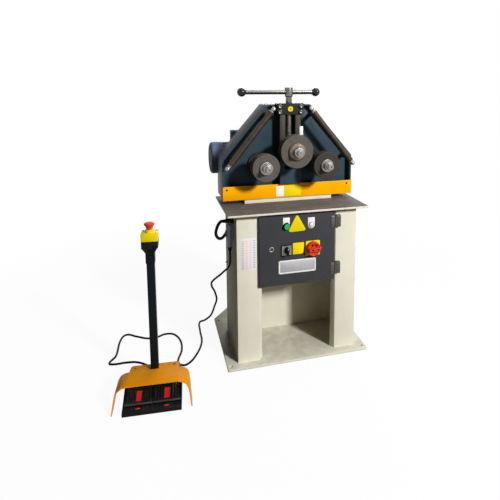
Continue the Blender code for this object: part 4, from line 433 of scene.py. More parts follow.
    def copied(
        self, name: str, move: Spot = (0, 0, 0), turn: float = 0, axis: Axis = Axis.Y, about: Spot = (0, 0, 0)
    ) -> "Shape":
        """Returns a copy with its own mesh, turned about a place and then moved.

        Args:
            name: The copy's name.
            move: How far it moves.
            turn: Its turn in degrees.
            axis: The turn's axis.
            about: The place that it turns about.

        Returns:
            The copy.
        """
        thing = bpy.data.objects.new(name, self.object.data.copy())
        bpy.context.scene.collection.objects.link(thing)
        centre = Vector(about) * MM
        spin = Matrix.Rotation(math.radians(turn), 4, axis.direction())
        thing.data.transform(
            Matrix.Translation(Vector(move) * MM + centre) @ spin @ Matrix.Translation(-centre)
        )
        return Shape(thing)

    def placed(self, turn: Matrix) -> "Shape":
        """Moves the piece's own points by a matrix in metres."""
        self.object.data.transform(turn)
        return self


class Wire:
    """A socket's value, whose sums and products add Math nodes."""

    def __init__(self, sheet: "Sheet", socket: bpy.types.NodeSocket) -> None:
        """Takes the sheet that holds the nodes, and the socket."""
        self.sheet = sheet
        self.socket = socket

    def maths(self, operation: str, first: Any, second: Any = None, third: Any = None) -> "Wire":
        """Adds one Math node and returns its value."""
        values = {index: value for index, value in enumerate((first, second, third)) if value is not None}
        return self.sheet.node("ShaderNodeMath", {"operation": operation}, values)

    def __add__(self, other: Any) -> "Wire":
        """Adds."""
        return self.maths("ADD", self, other)

    def __radd__(self, other: Any) -> "Wire":
        """Adds, from the right."""
        return self.maths("ADD", other, self)

    def __sub__(self, other: Any) -> "Wire":
        """Subtracts."""
        return self.maths("SUBTRACT", self, other)

    def __rsub__(self, other: Any) -> "Wire":
        """Subtracts from a number."""
        return self.maths("SUBTRACT", other, self)

    def __mul__(self, other: Any) -> "Wire":
        """Multiplies."""
        return self.maths("MULTIPLY", self, other)

    def __rmul__(self, other: Any) -> "Wire":
        """Multiplies, from the right."""
        return self.maths("MULTIPLY", other, self)

    def __truediv__(self, other: Any) -> "Wire":
        """Divides."""
        return self.maths("DIVIDE", self, other)

    def __pow__(self, other: Any) -> "Wire":
        """Raises to a power."""
        return self.maths("POWER", self, other)

    def over(self, level: float) -> "Wire":
        """Returns 1 where the value is over a level, and else 0."""
        return self.maths("GREATER_THAN", self, level)

    def least(self, other: Any) -> "Wire":
        """Returns the lesser of two values."""
        return self.maths("MINIMUM", self, other)

    def most(self, other: Any) -> "Wire":
        """Returns the greater of two values."""
        return self.maths("MAXIMUM", self, other)

    def size(self) -> "Wire":
        """Returns the value without its sign."""
        return self.maths("ABSOLUTE", self)

    def part(self) -> "Wire":
        """Returns what is left over a whole number."""
        return self.maths("FRACT", self)

    def between(self, low: float, high: float) -> "Wire":
        """Returns 0 below the low level, 1 above the high one, and a smooth step between them."""
        values = {"Value": self, "From Min": low, "From Max": high}
        return self.sheet.node("ShaderNodeMapRange", {"interpolation_type": "SMOOTHSTEP"}, values)


class Sheet:
    """The node sheet of one material, with the shader that its finish feeds."""

    def __init__(self, name: str, world: bool = False) -> None:
        """Starts a material, or a world."""
        self.holder = (bpy.data.worlds if world else bpy.data.materials).new(name)
        self.holder.use_nodes = True
        self.tree = self.holder.node_tree
        self.shader = self.tree.nodes["Background" if world else "Principled BSDF"]
        self.local: Optional[Wire] = None

    def node(self, kind: str, settings: dict[str, Any], sockets: dict[Any, Any], output: Any = 0) -> Wire:
        """Adds a node.

        Args:
            kind: The node's type.
            settings: Its settings, set first.
            sockets: Its sockets' values or wires.
            output: The output that is returned.

        Returns:
            The output.
        """
        made = self.tree.nodes.new(kind)
        for setting, value in settings.items():
            setattr(made, setting, value)
        for socket, value in sockets.items():
            self.feed(made.inputs[socket], value)
        return Wire(self, made.outputs[output])

    def feed(self, socket: bpy.types.NodeSocket, value: Any) -> None:
        """Links a wire to a socket, or sets its value."""
        if isinstance(value, Wire):
            self.tree.links.new(value.socket, socket)
        else:
            socket.default_value = value

    def places(self, centre: Spot = (0, 0, 0), turn: Spot = (0, 0, 0), stretch: Spot = (1, 1, 1)) -> Wire:
        """Returns Object coordinates in metres, about a centre.

        Args:
            centre: The centre in millimetres.
            turn: The turn of the pattern in degrees.
            stretch: How many times longer the pattern is along each axis.

        Returns:
            The coordinates.
        """
        if self.local is None:
            self.local = self.node("ShaderNodeTexCoord", {}, {}, "Object")
        values = {
            "Vector": self.local, "Location": Vector(centre) * MM,
            "Rotation": [math.radians(angle) for angle in turn], "Scale": stretch
        }
        return self.node("ShaderNodeMapping", {"vector_type": "TEXTURE"}, values)

    def parts(self, vector: Wire) -> tuple[Wire, Wire, Wire]:
        """Returns a vector's three parts."""
        made = self.tree.nodes.new("ShaderNodeSeparateXYZ")
        self.feed(made.inputs[0], vector)
        return (Wire(self, made.outputs[0]), Wire(self, made.outputs[1]), Wire(self, made.outputs[2]))

    def noise(self, vector: Wire, size: float, detail: float = 3, rough: float = 0.55) -> Wire:
        """Returns a noise whose patches are about a size in millimetres."""
        values = {"Vector": vector, "Scale": 1 / (size * MM), "Detail": detail, "Roughness": rough}
        return self.node("ShaderNodeTexNoise", {}, values)

    def cells(self, vector: Wire, size: float) -> Wire:
        """Returns the distance to the nearest of scattered points, a size apart in millimetres."""
        return self.node("ShaderNodeTexVoronoi", {}, {"Vector": vector, "Scale": 1 / (size * MM)})

    def mixed(self, share: Any, first: Any, second: Any) -> Wire:
        """Mixes two colours."""
        made = self.tree.nodes.new("ShaderNodeMix")
        made.data_type = "RGBA"
        self.feed(made.inputs[0], share)
        self.feed(made.inputs[6], first)
        self.feed(made.inputs[7], second)
        return Wire(self, made.outputs[2])

    def bumped(self, height: Wire, depth: float, strength: float = 1.0) -> Wire:
        """Returns a normal from a height of 0 to 1 that stands for a depth in millimetres."""
        values = {"Height": height, "Distance": depth * MM, "Strength": strength}
        return self.node("ShaderNodeBump", {}, values)

    def ray(self, kind: str) -> Wire:
        """Returns 1 for the light paths of a kind, and else 0."""
        return self.node("ShaderNodeLightPath", {}, {}, kind)

    def upward(self) -> Wire:
        """Returns how far the surface faces up, from -1 to 1."""
        return self.parts(self.node("ShaderNodeNewGeometry", {}, {}, "Normal"))[2]

    def finished(self, **sockets: Any) -> Any:
        """Feeds the shader, by socket names with underscores, and returns the material or world."""
        for name, value in sockets.items():
            self.feed(self.shader.inputs[name.replace("_", " ")], value)
        return self.holder


@dataclass(frozen=True)
class Paint:
    """Sprayed paint on sheet or casting: orange peel, cloudy shade, settled dust and rubbed scuffs."""

    name: str
    colour: str
    shade: str
    dust_colour: str = "8f8a80"
    gloss: float = 0.4
    peel: float = 1.5
    peel_depth: float = 0.012
    cloud: float = 0.5
    dust: float = 0.12
    scuffs: float = 0.25
    specular: float = 0.07

    @cache
    def made(self) -> bpy.types.Material:
        """Returns the paint's material."""
        sheet = Sheet(self.name)
        place = sheet.places()
        cloud = sheet.noise(place, 95, 4).between(0.35, 0.72)
        speckle = sheet.noise(place, 2.2, 2).between(0.55, 0.8)
        base = sheet.mixed(cloud * self.cloud, tone(self.colour), tone(self.shade))
        settled = sheet.upward().between(0.3, 1.0) * sheet.noise(place, 40, 5, 0.65).between(0.3, 0.7)
        dust = (settled + speckle * 0.35) * self.dust
        dusty = sheet.mixed(dust, base, tone(self.dust_colour))
        streaks = sheet.noise(sheet.places(turn=(12, 24, 31), stretch=(9, 1, 1)), 7, 5, 0.7)
        scuff = streaks.between(0.66, 0.74) * sheet.noise(place, 60, 2).between(0.5, 0.62) * self.scuffs
        worn = sheet.mixed(scuff, dusty, tone(self.dust_colour))
        rough = self.gloss + dust * 0.7 + scuff * 0.3 + cloud * 0.05
        peel = sheet.bumped(sheet.noise(place, self.peel, 2), self.peel_depth)
        return sheet.finished(Base_Color=worn, Roughness=rough, Normal=peel, Specular_IOR_Level=self.specular)


class Grain(Enum):
    """How the tool marks run on a machined face."""

    TURNED = "rings about an axis along Y"
    TURNED_Z = "rings about an upright axis"
    DRAWN_X = "lines along X"
    DRAWN_Z = "lines along Z"
    CAST = "no lines"


@dataclass(frozen=True)
class Steel:
    """Bare metal: tool marks, oil film and brown or dark stains, and painted shade on faces that look down if
    under is set.
    """

    name: str
    colour: str
    stain: str
    grain: Grain = Grain.CAST
    centre: Place = (0, 0, 0)
    gloss: float = 0.3
    stains: float = 0.5
    stain_size: float = 22
    mark: float = 0.5
    mark_depth: float = 0.006
    metal: float = 1.0
    mark_share: float = 0.25
    specular: float = 0.3
    under: float = 0.0

    @cache
    def made(self) -> bpy.types.Material:
        """Returns the metal's material, with painted shade darkening the faces that look down if under is
        set.
        """
        sheet = Sheet(self.name)
        place = sheet.places(self.centre)
        x, y, z = sheet.parts(place)
        if self.grain is Grain.TURNED:
            way = (x * x + z * z) ** 0.5 + y
        elif self.grain is Grain.TURNED_Z:
            way = (x * x + y * y) ** 0.5 + z
        elif self.grain is Grain.DRAWN_X:
            way = y * 1.3 + z
        elif self.grain is Grain.DRAWN_Z:
            way = x * 1.3 + y
        else:
            way = x + y + z + sheet.noise(place, 5, 3) * 0.02
        marks = sheet.node(
            "ShaderNodeTexNoise", {"noise_dimensions": "1D"},
            {"W": way, "Scale": 1 / (self.mark * MM), "Detail": 3, "Roughness": 0.7}
        )
        bands = sheet.node(
            "ShaderNodeTexNoise", {"noise_dimensions": "1D"},
            {"W": way, "Scale": 1 / (self.mark * 9 * MM), "Detail": 2}
        )
        blot = sheet.noise(place, self.stain_size, 5, 0.62).between(0.42, 0.68)
        share = (blot * 0.8 + bands.between(0.45, 0.75) * 0.35) * self.stains
        base = sheet.mixed(share.least(1), tone(self.colour), tone(self.stain))
        base = sheet.mixed(marks.between(0.35, 0.75) * self.mark_share, base, tone(self.stain))
        # Painted shade: the faces that look down are mixed towards the stain colour by the under share.
        if self.under:
            base = sheet.mixed((1 - sheet.upward().between(-0.4, 0.5)) * self.under, base, tone(self.stain))
        rough = self.gloss + blot * 0.12 + marks * 0.12 + sheet.noise(place, 4, 3) * 0.06
        lines = sheet.bumped(marks, self.mark_depth)
        return sheet.finished(
            Base_Color=base, Metallic=self.metal, Roughness=rough, Normal=lines,
            Specular_IOR_Level=self.specular
        )


@dataclass(frozen=True)
class Plastic:
    """Moulded plastic: a fine grain, faint handling marks and a little dust in its low places."""

    name: str
    colour: str
    shade: str
    gloss: float = 0.35
    grain: float = 0.6
    grain_depth: float = 0.01
    dust: float = 0.08
    coat: float = 0.0
    specular: float = 0.12

    @cache
    def made(self) -> bpy.types.Material:
        """Returns the plastic's material."""
        sheet = Sheet(self.name)
        place = sheet.places()
        cloud = sheet.noise(place, 30, 4).between(0.35, 0.7)
        base = sheet.mixed(cloud * 0.45, tone(self.colour), tone(self.shade))
        handled = sheet.noise(
            sheet.places(turn=(20, 35, 10), stretch=(1, 4, 1)), 9, 5, 0.7
        ).between(0.5, 0.72)
        speck = sheet.noise(place, 1.6, 2).between(0.62, 0.82)
        base = sheet.mixed((speck * 0.5 + handled * 0.4) * self.dust, base, tone("a8a39a"))
        rough = self.gloss + handled * 0.1 + speck * 0.06
        grain = sheet.bumped(sheet.noise(place, self.grain, 2), self.grain_depth)
        return sheet.finished(
            Base_Color=base, Roughness=rough, Normal=grain, Coat_Weight=self.coat,
            Specular_IOR_Level=self.specular
        )


@dataclass(frozen=True)
class TableTop:
    """The worn steel plate under the head: dark mill scale, long streaks and light scratches."""

    name: str = "table_scale"
    colour: str = "716c69"
    dark: str = "4e4a48"
    bright: str = "928c87"

    @cache
    def made(self) -> bpy.types.Material:
        """Returns the plate's material."""
        sheet = Sheet(self.name)
        place = sheet.places()
        long_way = sheet.places(stretch=(26, 1, 1))
        streaks = sheet.noise(long_way, 9, 5, 0.65)
        blot = sheet.noise(place, 70, 5, 0.6)
        base = sheet.mixed(streaks.between(0.3, 0.7), tone(self.dark), tone(self.colour))
        base = sheet.mixed(blot.between(0.5, 0.75) * 0.35, base, tone(self.bright))
        scratch = sheet.noise(sheet.places(turn=(0, 0, 17), stretch=(60, 1, 1)), 2.5, 3).between(0.66, 0.72)
        scratch = scratch * sheet.noise(place, 45, 2).between(0.45, 0.6)
        base = sheet.mixed(scratch * 0.5, base, tone("a59c94"))
        rough = 0.42 + blot * 0.15 - scratch * 0.12
        relief = sheet.bumped(streaks + scratch * 0.4, 0.03)
        return sheet.finished(Base_Color=base, Roughness=rough + 0.1, Normal=relief, Specular_IOR_Level=0.15)


@dataclass(frozen=True)
class Rubber:
    """Cord sheath and grips: soft black with a dusty bloom."""

    name: str = "cord_rubber"
    colour: str = "0b0b0d"
    bloom: str = "242426"
    gloss: float = 0.45

    @cache
    def made(self) -> bpy.types.Material:
        """Returns the rubber's material."""
        sheet = Sheet(self.name)
        place = sheet.places()
        bloom = sheet.noise(place, 18, 4).between(0.45, 0.75)
        fine = sheet.noise(place, 0.9, 2)
        base = sheet.mixed(bloom * 0.22 + fine.between(0.6, 0.8) * 0.1, tone(self.colour), tone(self.bloom))
        rough = self.gloss + bloom * 0.2
        return sheet.finished(
            Base_Color=base, Roughness=rough, Normal=sheet.bumped(fine, 0.015), Specular_IOR_Level=0.06
        )


@dataclass(frozen=True)
class Printed:
    """A printed sheet with rows of bars in blocks, as a table of settings has, and no words."""

    name: str
    low: Pair
    high: Pair
    paper: str = "dfdedc"
    columns: tuple[str, ...] = ("9a9aa2", "dfb0b4", "dfb0b4", "7d8cbc")
    rows: int = 19
    filled: float = 0.42

    @cache
    def made(self) -> bpy.types.Material:
        """Returns the sheet's material, laid out across X and Z."""
        sheet = Sheet(self.name)
        x, _, z = sheet.parts(sheet.places((self.low[0], 0, self.low[1])))
        across = x / ((self.high[0] - self.low[0]) * MM)
        up = z / ((self.high[1] - self.low[1]) * MM)
        paper = sheet.mixed(sheet.noise(sheet.places(), 25, 4) * 0.12, tone(self.paper), tone("c9c5ba"))
        row = (up * self.rows).part()
        bar = row.over(0.3) * (1 - row.over(0.3 + self.filled))
        inside = up.over(0.05) * (1 - up.over(0.95))
        for index, colour in enumerate(self.columns):
            left = 0.05 + index * 0.96 / len(self.columns)
            right = left + 0.6 / len(self.columns)
            ragged = sheet.noise(sheet.places(stretch=(1, 1, 1)), 3.1, 1) * 0.05
            here = (across + ragged).over(left + 0.025) * (1 - (across + ragged).over(right + 0.025))
            paper = sheet.mixed(here * bar * inside * 0.85, paper, tone(colour))
        relief = sheet.bumped(sheet.noise(sheet.places(), 0.8, 2), 0.004)
        return sheet.finished(Base_Color=paper, Roughness=0.42, Normal=relief)


@dataclass(frozen=True)
class ScalePlate:
    """The height scale beside the slide: an upright row of lines, each fifth one long."""

    name: str = "scale_plate_face"
    left: float = 48
    low: float = 1113
    pitch: float = 2.5

    @cache
    def made(self) -> bpy.types.Material:
        """Returns the scale's material."""
        sheet = Sheet(self.name)
        x, _, z = sheet.parts(sheet.places((self.left, 0, self.low)))
        step = z / (self.pitch * MM)
        line = 1 - ((step.part() - 0.5).size()).over(0.16)
        fifth = 1 - (((step / 5).part() - 0.5).size()).over(0.1)
        across = x / MM
        short = 1 - across.over(6)
        long = 1 - across.over(11)
        ink = (line * short).most(line * fifth * long)
        paint = sheet.mixed(sheet.noise(sheet.places(), 14, 4) * 0.15, tone("f2f1ec"), tone("bdbab2"))
        paint = sheet.mixed(ink * 0.85, paint, tone("2b2b2d"))
        relief = sheet.bumped(1 - ink, 0.05)
        return sheet.finished(Base_Color=paint, Roughness=0.4, Normal=relief)


@dataclass(frozen=True)
class Lens:
    """The frosted lens of the pilot lamp."""

    name: str = "lamp_lens"

    @cache
    def made(self) -> bpy.types.Material:
        """Returns the lens's material."""
        sheet = Sheet(self.name)
        place = sheet.places()
        cloud = sheet.noise(place, 7, 3)
        base = sheet.mixed(cloud, tone("e9e8e2"), tone("cfcfc9"))
        ribs = sheet.bumped(sheet.cells(place, 2.2), 0.15)
        return sheet.finished(Base_Color=base, Roughness=0.22 + cloud * 0.1, Normal=ribs, Coat_Weight=0.3)


class Finishes:
    """All finishes of the machine."""

    cream = Paint("cream_paint", "dfdbc9", "d4cfbb", "8c8474", 0.45, dust=0.1, scuffs=0.3, specular=0.01)
    cream_floor = Paint("cream_floor_paint", "dad6c4", "c8c3ae", "7f776a", 0.4, dust=0.25, scuffs=0.7)
    charcoal = Paint("charcoal_paint", "3f3f42", "37373a", "8a8a8a", 0.42, 0.8, 0.03, dust=0.07, scuffs=0.12)
    petrol = Paint("petrol_paint", "364750", "2a3943", "7c8084", 0.3, 1.8, 0.02, dust=0.1, scuffs=0.2)
    casing = Paint(
        "casing_paint", "64738a", "526075", "70757a", 0.4, 1.2, 0.03, dust=0.1, scuffs=0.2, specular=0.02
    )
    # A lighter grey than the petrol front: painted sheen, for the light that the shell's outer faces reflect.
    band = Paint(
        "head_band_paint", "5a5e65", "4b4f56", "93938f", 0.34, 1.8, 0.02, dust=0.2, scuffs=0.3, specular=0.03
    )
    grey = Paint("zinc_sheet", "8f918f", "7b7d7c", "a5a49f", 0.4, 3.0, 0.004, dust=0.15, scuffs=0.5)
    guard = Paint("guard_yellow", "ffae00", "f7a300", "a98d55", 0.33, 1.8, 0.015, 0.6, 0.06, 0.2)
    amber = Paint("hood_amber", "dc8c07", "d08105", "a58c5e", 0.34, 2.0, 0.02, 0.6, 0.02, 0.1, 0.02)
    pole_paint = Paint(
        "pole_paint", "15191b", "111416", "6e7272", 0.3, 1.4, 0.02, dust=0.1, scuffs=0.3, specular=0.04
    )
    sign = Paint("sign_yellow", "ecd40e", "e3c908", "a89c58", 0.38, 1.0, 0.004, 0.5, 0.05, 0.15)
    sign_line = Paint("sign_black", "2a2825", "222120", "77746a", 0.4, 1.0, 0.004, 0.5, 0.05, 0.1)
    blank = Paint("blank_white", "ecebe6", "dfddd6", "a9a59b", 0.4, 1.0, 0.004, 0.6, 0.1, 0.2)
    silver = Steel(
        "plate_silver", "a5a3a6", "828085", Grain.DRAWN_X, gloss=0.36, stains=0.25, mark=0.35, metal=0.75
    )
    selector_metal = Steel(
        "selector_metal", "97918a", "615b54", Grain.DRAWN_X, gloss=0.34, stains=0.4, mark=0.35, metal=0.6
    )
    cast_black = Paint("cast_black", "2b2d2f", "222426", "77777a", 0.3, 1.6, 0.03, dust=0.06, scuffs=0.2)
    brass = Steel("brass_stud", "a87b3a", "6a4a22", gloss=0.3, stains=0.5, stain_size=5)
    table = TableTop()
    bright = Steel("bright_steel", "a5a19b", "55504a", Grain.TURNED, gloss=0.22, stains=0.4)
    bright_hub = Steel(
        "bright_hub", "7d7974", "3d3935", Grain.TURNED_Z, (0, 10, 0), gloss=0.22, stains=0.4, stain_size=16
    )
    spacer = Steel(
        "spacer_steel", "7c7062", "463d34", Grain.TURNED, (0, 0, 1044), gloss=0.34, stains=0.5, metal=0.6
    )
    screw_steel = Steel("screw_steel", "8a847c", "2f2b28", gloss=0.3, stains=0.7, stain_size=15)
    # The polished bar's under share paints shade on its downward faces, giving the bar a dark lower half.
    chrome = Steel(
        "polished_bar", "74716e", "2a2826", gloss=0.16, stains=0.12, mark_share=0.0, mark_depth=0.0, under=0.9
    )
    zinc = Steel("zinc_leaf", "625f5b", "2c2a28", Grain.DRAWN_Z, gloss=0.25, stains=0.55, stain_size=12)
    oiled = Steel("oiled_bar", "4a3e34", "1f1915", gloss=0.34, stains=0.7, stain_size=30, metal=0.7)
    guide_steel = Steel(
        "guide_strip_steel", "322a22", "1c1713", Grain.DRAWN_Z, gloss=0.4, stains=0.6, stain_size=40,
        metal=0.25
    )
    # Dark steel: the whole lower bearings, and the side faces of the rolls, spacer and washers, where it is
    # painted shade.
    rim = Steel("oiled_rim", "34302c", "1f1c1a", Grain.TURNED, gloss=0.4, metal=0.1, specular=0.08)
    gear_steel = Steel("gear_steel", "8c857c", "4a433c", Grain.TURNED, gloss=0.3, stains=0.5)
    screw_grey = Steel("grey_screw", "7c7874", "2b2927", gloss=0.18, stains=0.8, stain_size=6)
    screw_black = Steel("black_screw", "4a4a4e", "232326", gloss=0.28, stains=0.5, stain_size=9, metal=0.85)
    black = Plastic("black_plastic", "101112", "0b0c0d", 0.34, 0.7, 0.02, 0.1, specular=0.07)
    tread_black = Plastic("tread_black", "1b1c1e", "131415", 0.3, 0.7, 0.02, 0.15, specular=0.4)
    gloss_black = Plastic("ball_black", "0c0c0d", "070708", 0.08, 1.2, 0.001, 0.04, 0.5)
    green = Plastic("start_green", "0fb56c", "0aa45f", 0.22, 0.8, 0.003, 0.05, 0.2)
    red = Plastic("signal_red", "d2402c", "bf3423", 0.3, 0.9, 0.004, 0.04)
    tread_red = Plastic("tread_red", "d12a20", "bd2119", 0.35, 1.0, 0.006, 0.1)
    station_yellow = Plastic("station_yellow", "e6cc04", "dabf02", 0.34, 0.8, 0.008, 0.06)
    # Lighter than the coupler's own blue-grey: painted light, making up for the shade beside the column.
    slate = Plastic("coupler_slate", "a5b5c9", "8c9cb1", 0.34, 0.8, 0.02, 0.12, specular=0.5)
    latch = Plastic("latch_brown", "8a5b3c", "6f472e", 0.4, 0.8, 0.01, 0.1)
    cream_plastic = Plastic("contactor_grey", "cfccc2", "bcb9ae", 0.4, 0.8, 0.01, 0.1)
    rubber = Rubber()
    lens = Lens()
    scale = ScalePlate()

    @staticmethod
    def roll(name: str, x: float, z: float, colour: str) -> Steel:
        """Returns the oiled brown steel of a roll, its rings about the roll's own axis."""
        return Steel(
            name, colour, "3f3832", Grain.TURNED, (x, 0, z), gloss=0.34, stains=0.55, stain_size=34, mark=0.7,
            mark_depth=0.01, metal=0.12, specular=0.12
        )

    @staticmethod
    def stub(name: str, x: float, z: float) -> Steel:
        """Returns the bright turned steel of a shaft end and its nut."""
        return Steel(
            name, "a19e99", "45403b", Grain.TURNED, (x, 0, z), gloss=0.2, stains=0.45, stain_size=9, mark=0.6
        )


@dataclass(frozen=True)
class Lamp:
    """A square lamp: its place and side in metres, and its power in watts."""

    name: str
    place: Place
    size: float
    power: float

    def hung(self, aim: Place) -> None:
        """Hangs the lamp so that it faces a place."""
        data = bpy.data.lights.new(self.name, "AREA")
        data.size = self.size
        data.energy = self.power
        lamp = bpy.data.objects.new(self.name, data)
        lamp.location = self.place
        lamp.rotation_euler = (Vector(aim) - Vector(self.place)).to_track_quat("-Z", "Y").to_euler()
        bpy.context.scene.collection.objects.link(lamp)


@dataclass
class Studio:
    """The camera, the soft lamps, the white surround and the pale floor."""

    lens: float = 33.0
    camera_place: Place = (-0.6624, -2.2311, 1.3502)
    camera_turn: Place = (90 - 7.7, 0, -16)
    shift: Pair = (-0.07, -0.20)
    lamps: tuple[Lamp, ...] = (
        Lamp("key", (4.3, -7.7, 5.1), 1.15, 1130), Lamp("fill", (0.7, -4.2, 1.5), 3.0, 3),
        Lamp("top", (1.0, -0.4, 4.2), 2.2, 50), Lamp("back", (1.4, 5.2, 3.0), 2.4, 120)
    )
    aim: Place = (-0.15, 0.0, 0.7)
    surround: float = 0.022
    floor_light: float = 0.93

    def build(self) -> None:
        """Makes the camera, lamps, surround and floor."""
        self.camera()
        for lamp in self.lamps:
            lamp.hung(self.aim)
        self.world()
        self.floor()
        bpy.context.scene.view_settings.view_transform = "Standard"

    def camera(self) -> None:
        """Sets the camera at the photograph's viewpoint."""
        data = bpy.data.cameras.new("camera")
        data.lens = self.lens
        data.sensor_width = 36.0
        data.shift_x, data.shift_y = self.shift
        camera = bpy.data.objects.new("camera", data)
        camera.location = self.camera_place
        camera.rotation_euler = [math.radians(angle) for angle in self.camera_turn]
        bpy.context.scene.collection.objects.link(camera)
        bpy.context.scene.camera = camera

    def world(self) -> None:
        """Makes the surround: white where it is seen or mirrored, and dimmer as light."""
        sheet = Sheet("surround", world=True)
        seen = sheet.ray("Is Camera Ray").most(
            sheet.ray("Is Transmission Ray")
        ).most(sheet.ray("Is Glossy Ray"))
        strength = seen * (1 - self.surround) + self.surround
        bpy.context.scene.world = sheet.finished(Color=(1, 1, 1, 1), Strength=strength)

    def floor(self) -> None:
        """Lays the floor: white, with the soft shadow of what stands on it."""
        Shape.clear()
        bpy.ops.mesh.primitive_plane_add(size=60, location=(0, 0, 0))
        floor = bpy.context.object
        floor.name = "studio_floor"
        sheet = Sheet("studio_floor")
        seen = sheet.ray("Is Camera Ray").most(sheet.ray("Is Glossy Ray"))
        tint = sheet.mixed(seen, (0.16, 0.15, 0.14, 1), (0.9, 0.9, 0.9, 1))
        sheet.finished(Base_Color=tint, Roughness=0.9, Specular_IOR_Level=0.0)
        glow = sheet.node("ShaderNodeEmission", {}, {"Color": (1, 1, 1, 1), "Strength": 1.0})
        mix = sheet.tree.nodes.new("ShaderNodeMixShader")
        x, y, _ = sheet.parts(sheet.places())
        far = ((x * x + y * y) ** 0.5).between(1.2, 3.0)
        sheet.feed(mix.inputs[0], seen * (far * (1 - self.floor_light) + self.floor_light))
        sheet.tree.links.new(sheet.shader.outputs[0], mix.inputs[1])
        sheet.feed(mix.inputs[2], glow)
        output = sheet.tree.nodes["Material Output"]
        sheet.tree.links.new(mix.outputs[0], output.inputs["Surface"])
        floor.data.materials.append(sheet.holder)


@dataclass
class Fasteners:
    """Screws and bolts, each kind modelled once about the origin and copied."""

    made: dict[str, Shape] = field(default_factory=dict)

    def cap_screw(self, radius: float, height: float, key: float) -> Shape:
        """Returns a socket cap screw's head, which faces -Y.

        Args:
            radius: The head's radius.
            height: The head's height.
            key: The socket's width between its flats.

        Returns:
            The head, its seat at the origin.
        """
        name = f"cap_{radius}_{height}"
        if name not in self.made:
            head = Shape.turned(
                name, [(0, 0), (radius, 0), (radius, -height + 1), (radius - 1, -height), (0, -height)],
                steps=28
            )
            socket = Shape.prism("socket", hexagon(0, 0, key), -height - 1, -height * 0.4)
            self.made[name] = head.without(socket)
            self.made[name].object.hide_render = True
        return self.made[name]

    def dome_screw(self, radius: float, height: float) -> Shape:
        """Returns a cross-recessed dome head, which faces -Y.

        Args:
            radius: The head's radius.
            height: The head's height.

        Returns:
            The head, its seat at the origin.
        """
        name = f"dome_{radius}_{height}"
        if name not in self.made:
            profile = [(0.0, 0.0), (radius, 0.0)]
            profile += [(radius * math.cos(a), -height * math.sin(a)) for a in (0.25, 0.6, 1.0, 1.35)]
            head = Shape.turned(name, profile + [(0, -height)], steps=20)
            half = radius * 0.62
            slim = radius * 0.13
            slot = Shape.block("slot", (-half, half), (-height * 1.6, -height * 0.45), (-slim, slim))
            head.without(slot.copied("slot_across", turn=90)).without(slot)
            self.made[name] = head
        return self.made[name]

    def clear_up(self) -> None:
        """Removes the patterns that the copies were made from."""
        for pattern in self.made.values():
            bpy.data.objects.remove(pattern.object)


@dataclass
class Assembly:
    """A sub-assembly in the making, which hands each finished piece to the frame and reports it."""

    fasteners: Fasteners
    body_of: dict[str, str]

    def build(self) -> None:
        """Makes all pieces, in each sub-assembly's own way."""
        raise NotImplementedError

    def take(
        self, piece: Shape, body: str, *finishes: Any, slot: str, node: str = "", smooth: float = 32,
        second: Optional[Test] = None
    ) -> bpy.types.Object:
        """Finishes a piece and hands it over.

        Args:
            piece: The piece.
            body: The body that it rides on.
            finishes: Its material, and a second one if some faces have another.
            slot: The record's material slot; not used.
            node: The CAD node that it stands for, if any.
            smooth: The angle in degrees below which faces are shaded as one.
            second: Which faces have the second material.

        Returns:
            The piece's object.
        """
        piece.pick()
        thing = piece.object
        if thing.type == "MESH":
            bpy.ops.object.shade_smooth_by_angle(angle=math.radians(smooth))
        if finishes:
            thing.data.materials.clear()
            for finish in finishes:
                thing.data.materials.append(finish.made())
        if second:
            for face in thing.data.polygons:
                face.material_index = int(second(face))
        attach(thing, body)
        if node:
            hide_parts(node)
        LOG.info("%s rides on %s", thing.name, body)
        return thing

    def fine(
        self, node: str, *finishes: Any, slot: str, width: float = 1.0, segments: int = 2,
        second: Optional[Test] = None
    ) -> bpy.types.Object:
        """Replaces a node by its own form with rounded edges.

        Args:
            node: The node.
            finishes: Its material, and a second one if some faces have another.
            slot: The record's material slot.
            width: The width of the rounding in millimetres.
            segments: How many faces the rounding has.
            second: Which faces have the second material.

        Returns:
            The piece's object.
        """
        piece = Shape.from_node(node).bevelled(width, segments)
        return self.take(piece, self.body_of[node], *finishes, slot=slot, node=node, second=second)

    def keep(self, node: str, finish: Steel) -> None:
        """Gives a CAD node, whose shape is right as it is, its finish."""
        thing = bpy.data.objects[node]
        for holder in thing.material_slots:
            holder.material = finish.made()
        if not thing.material_slots:
            thing.data.materials.append(finish.made())
        LOG.info("%s keeps its form", node)


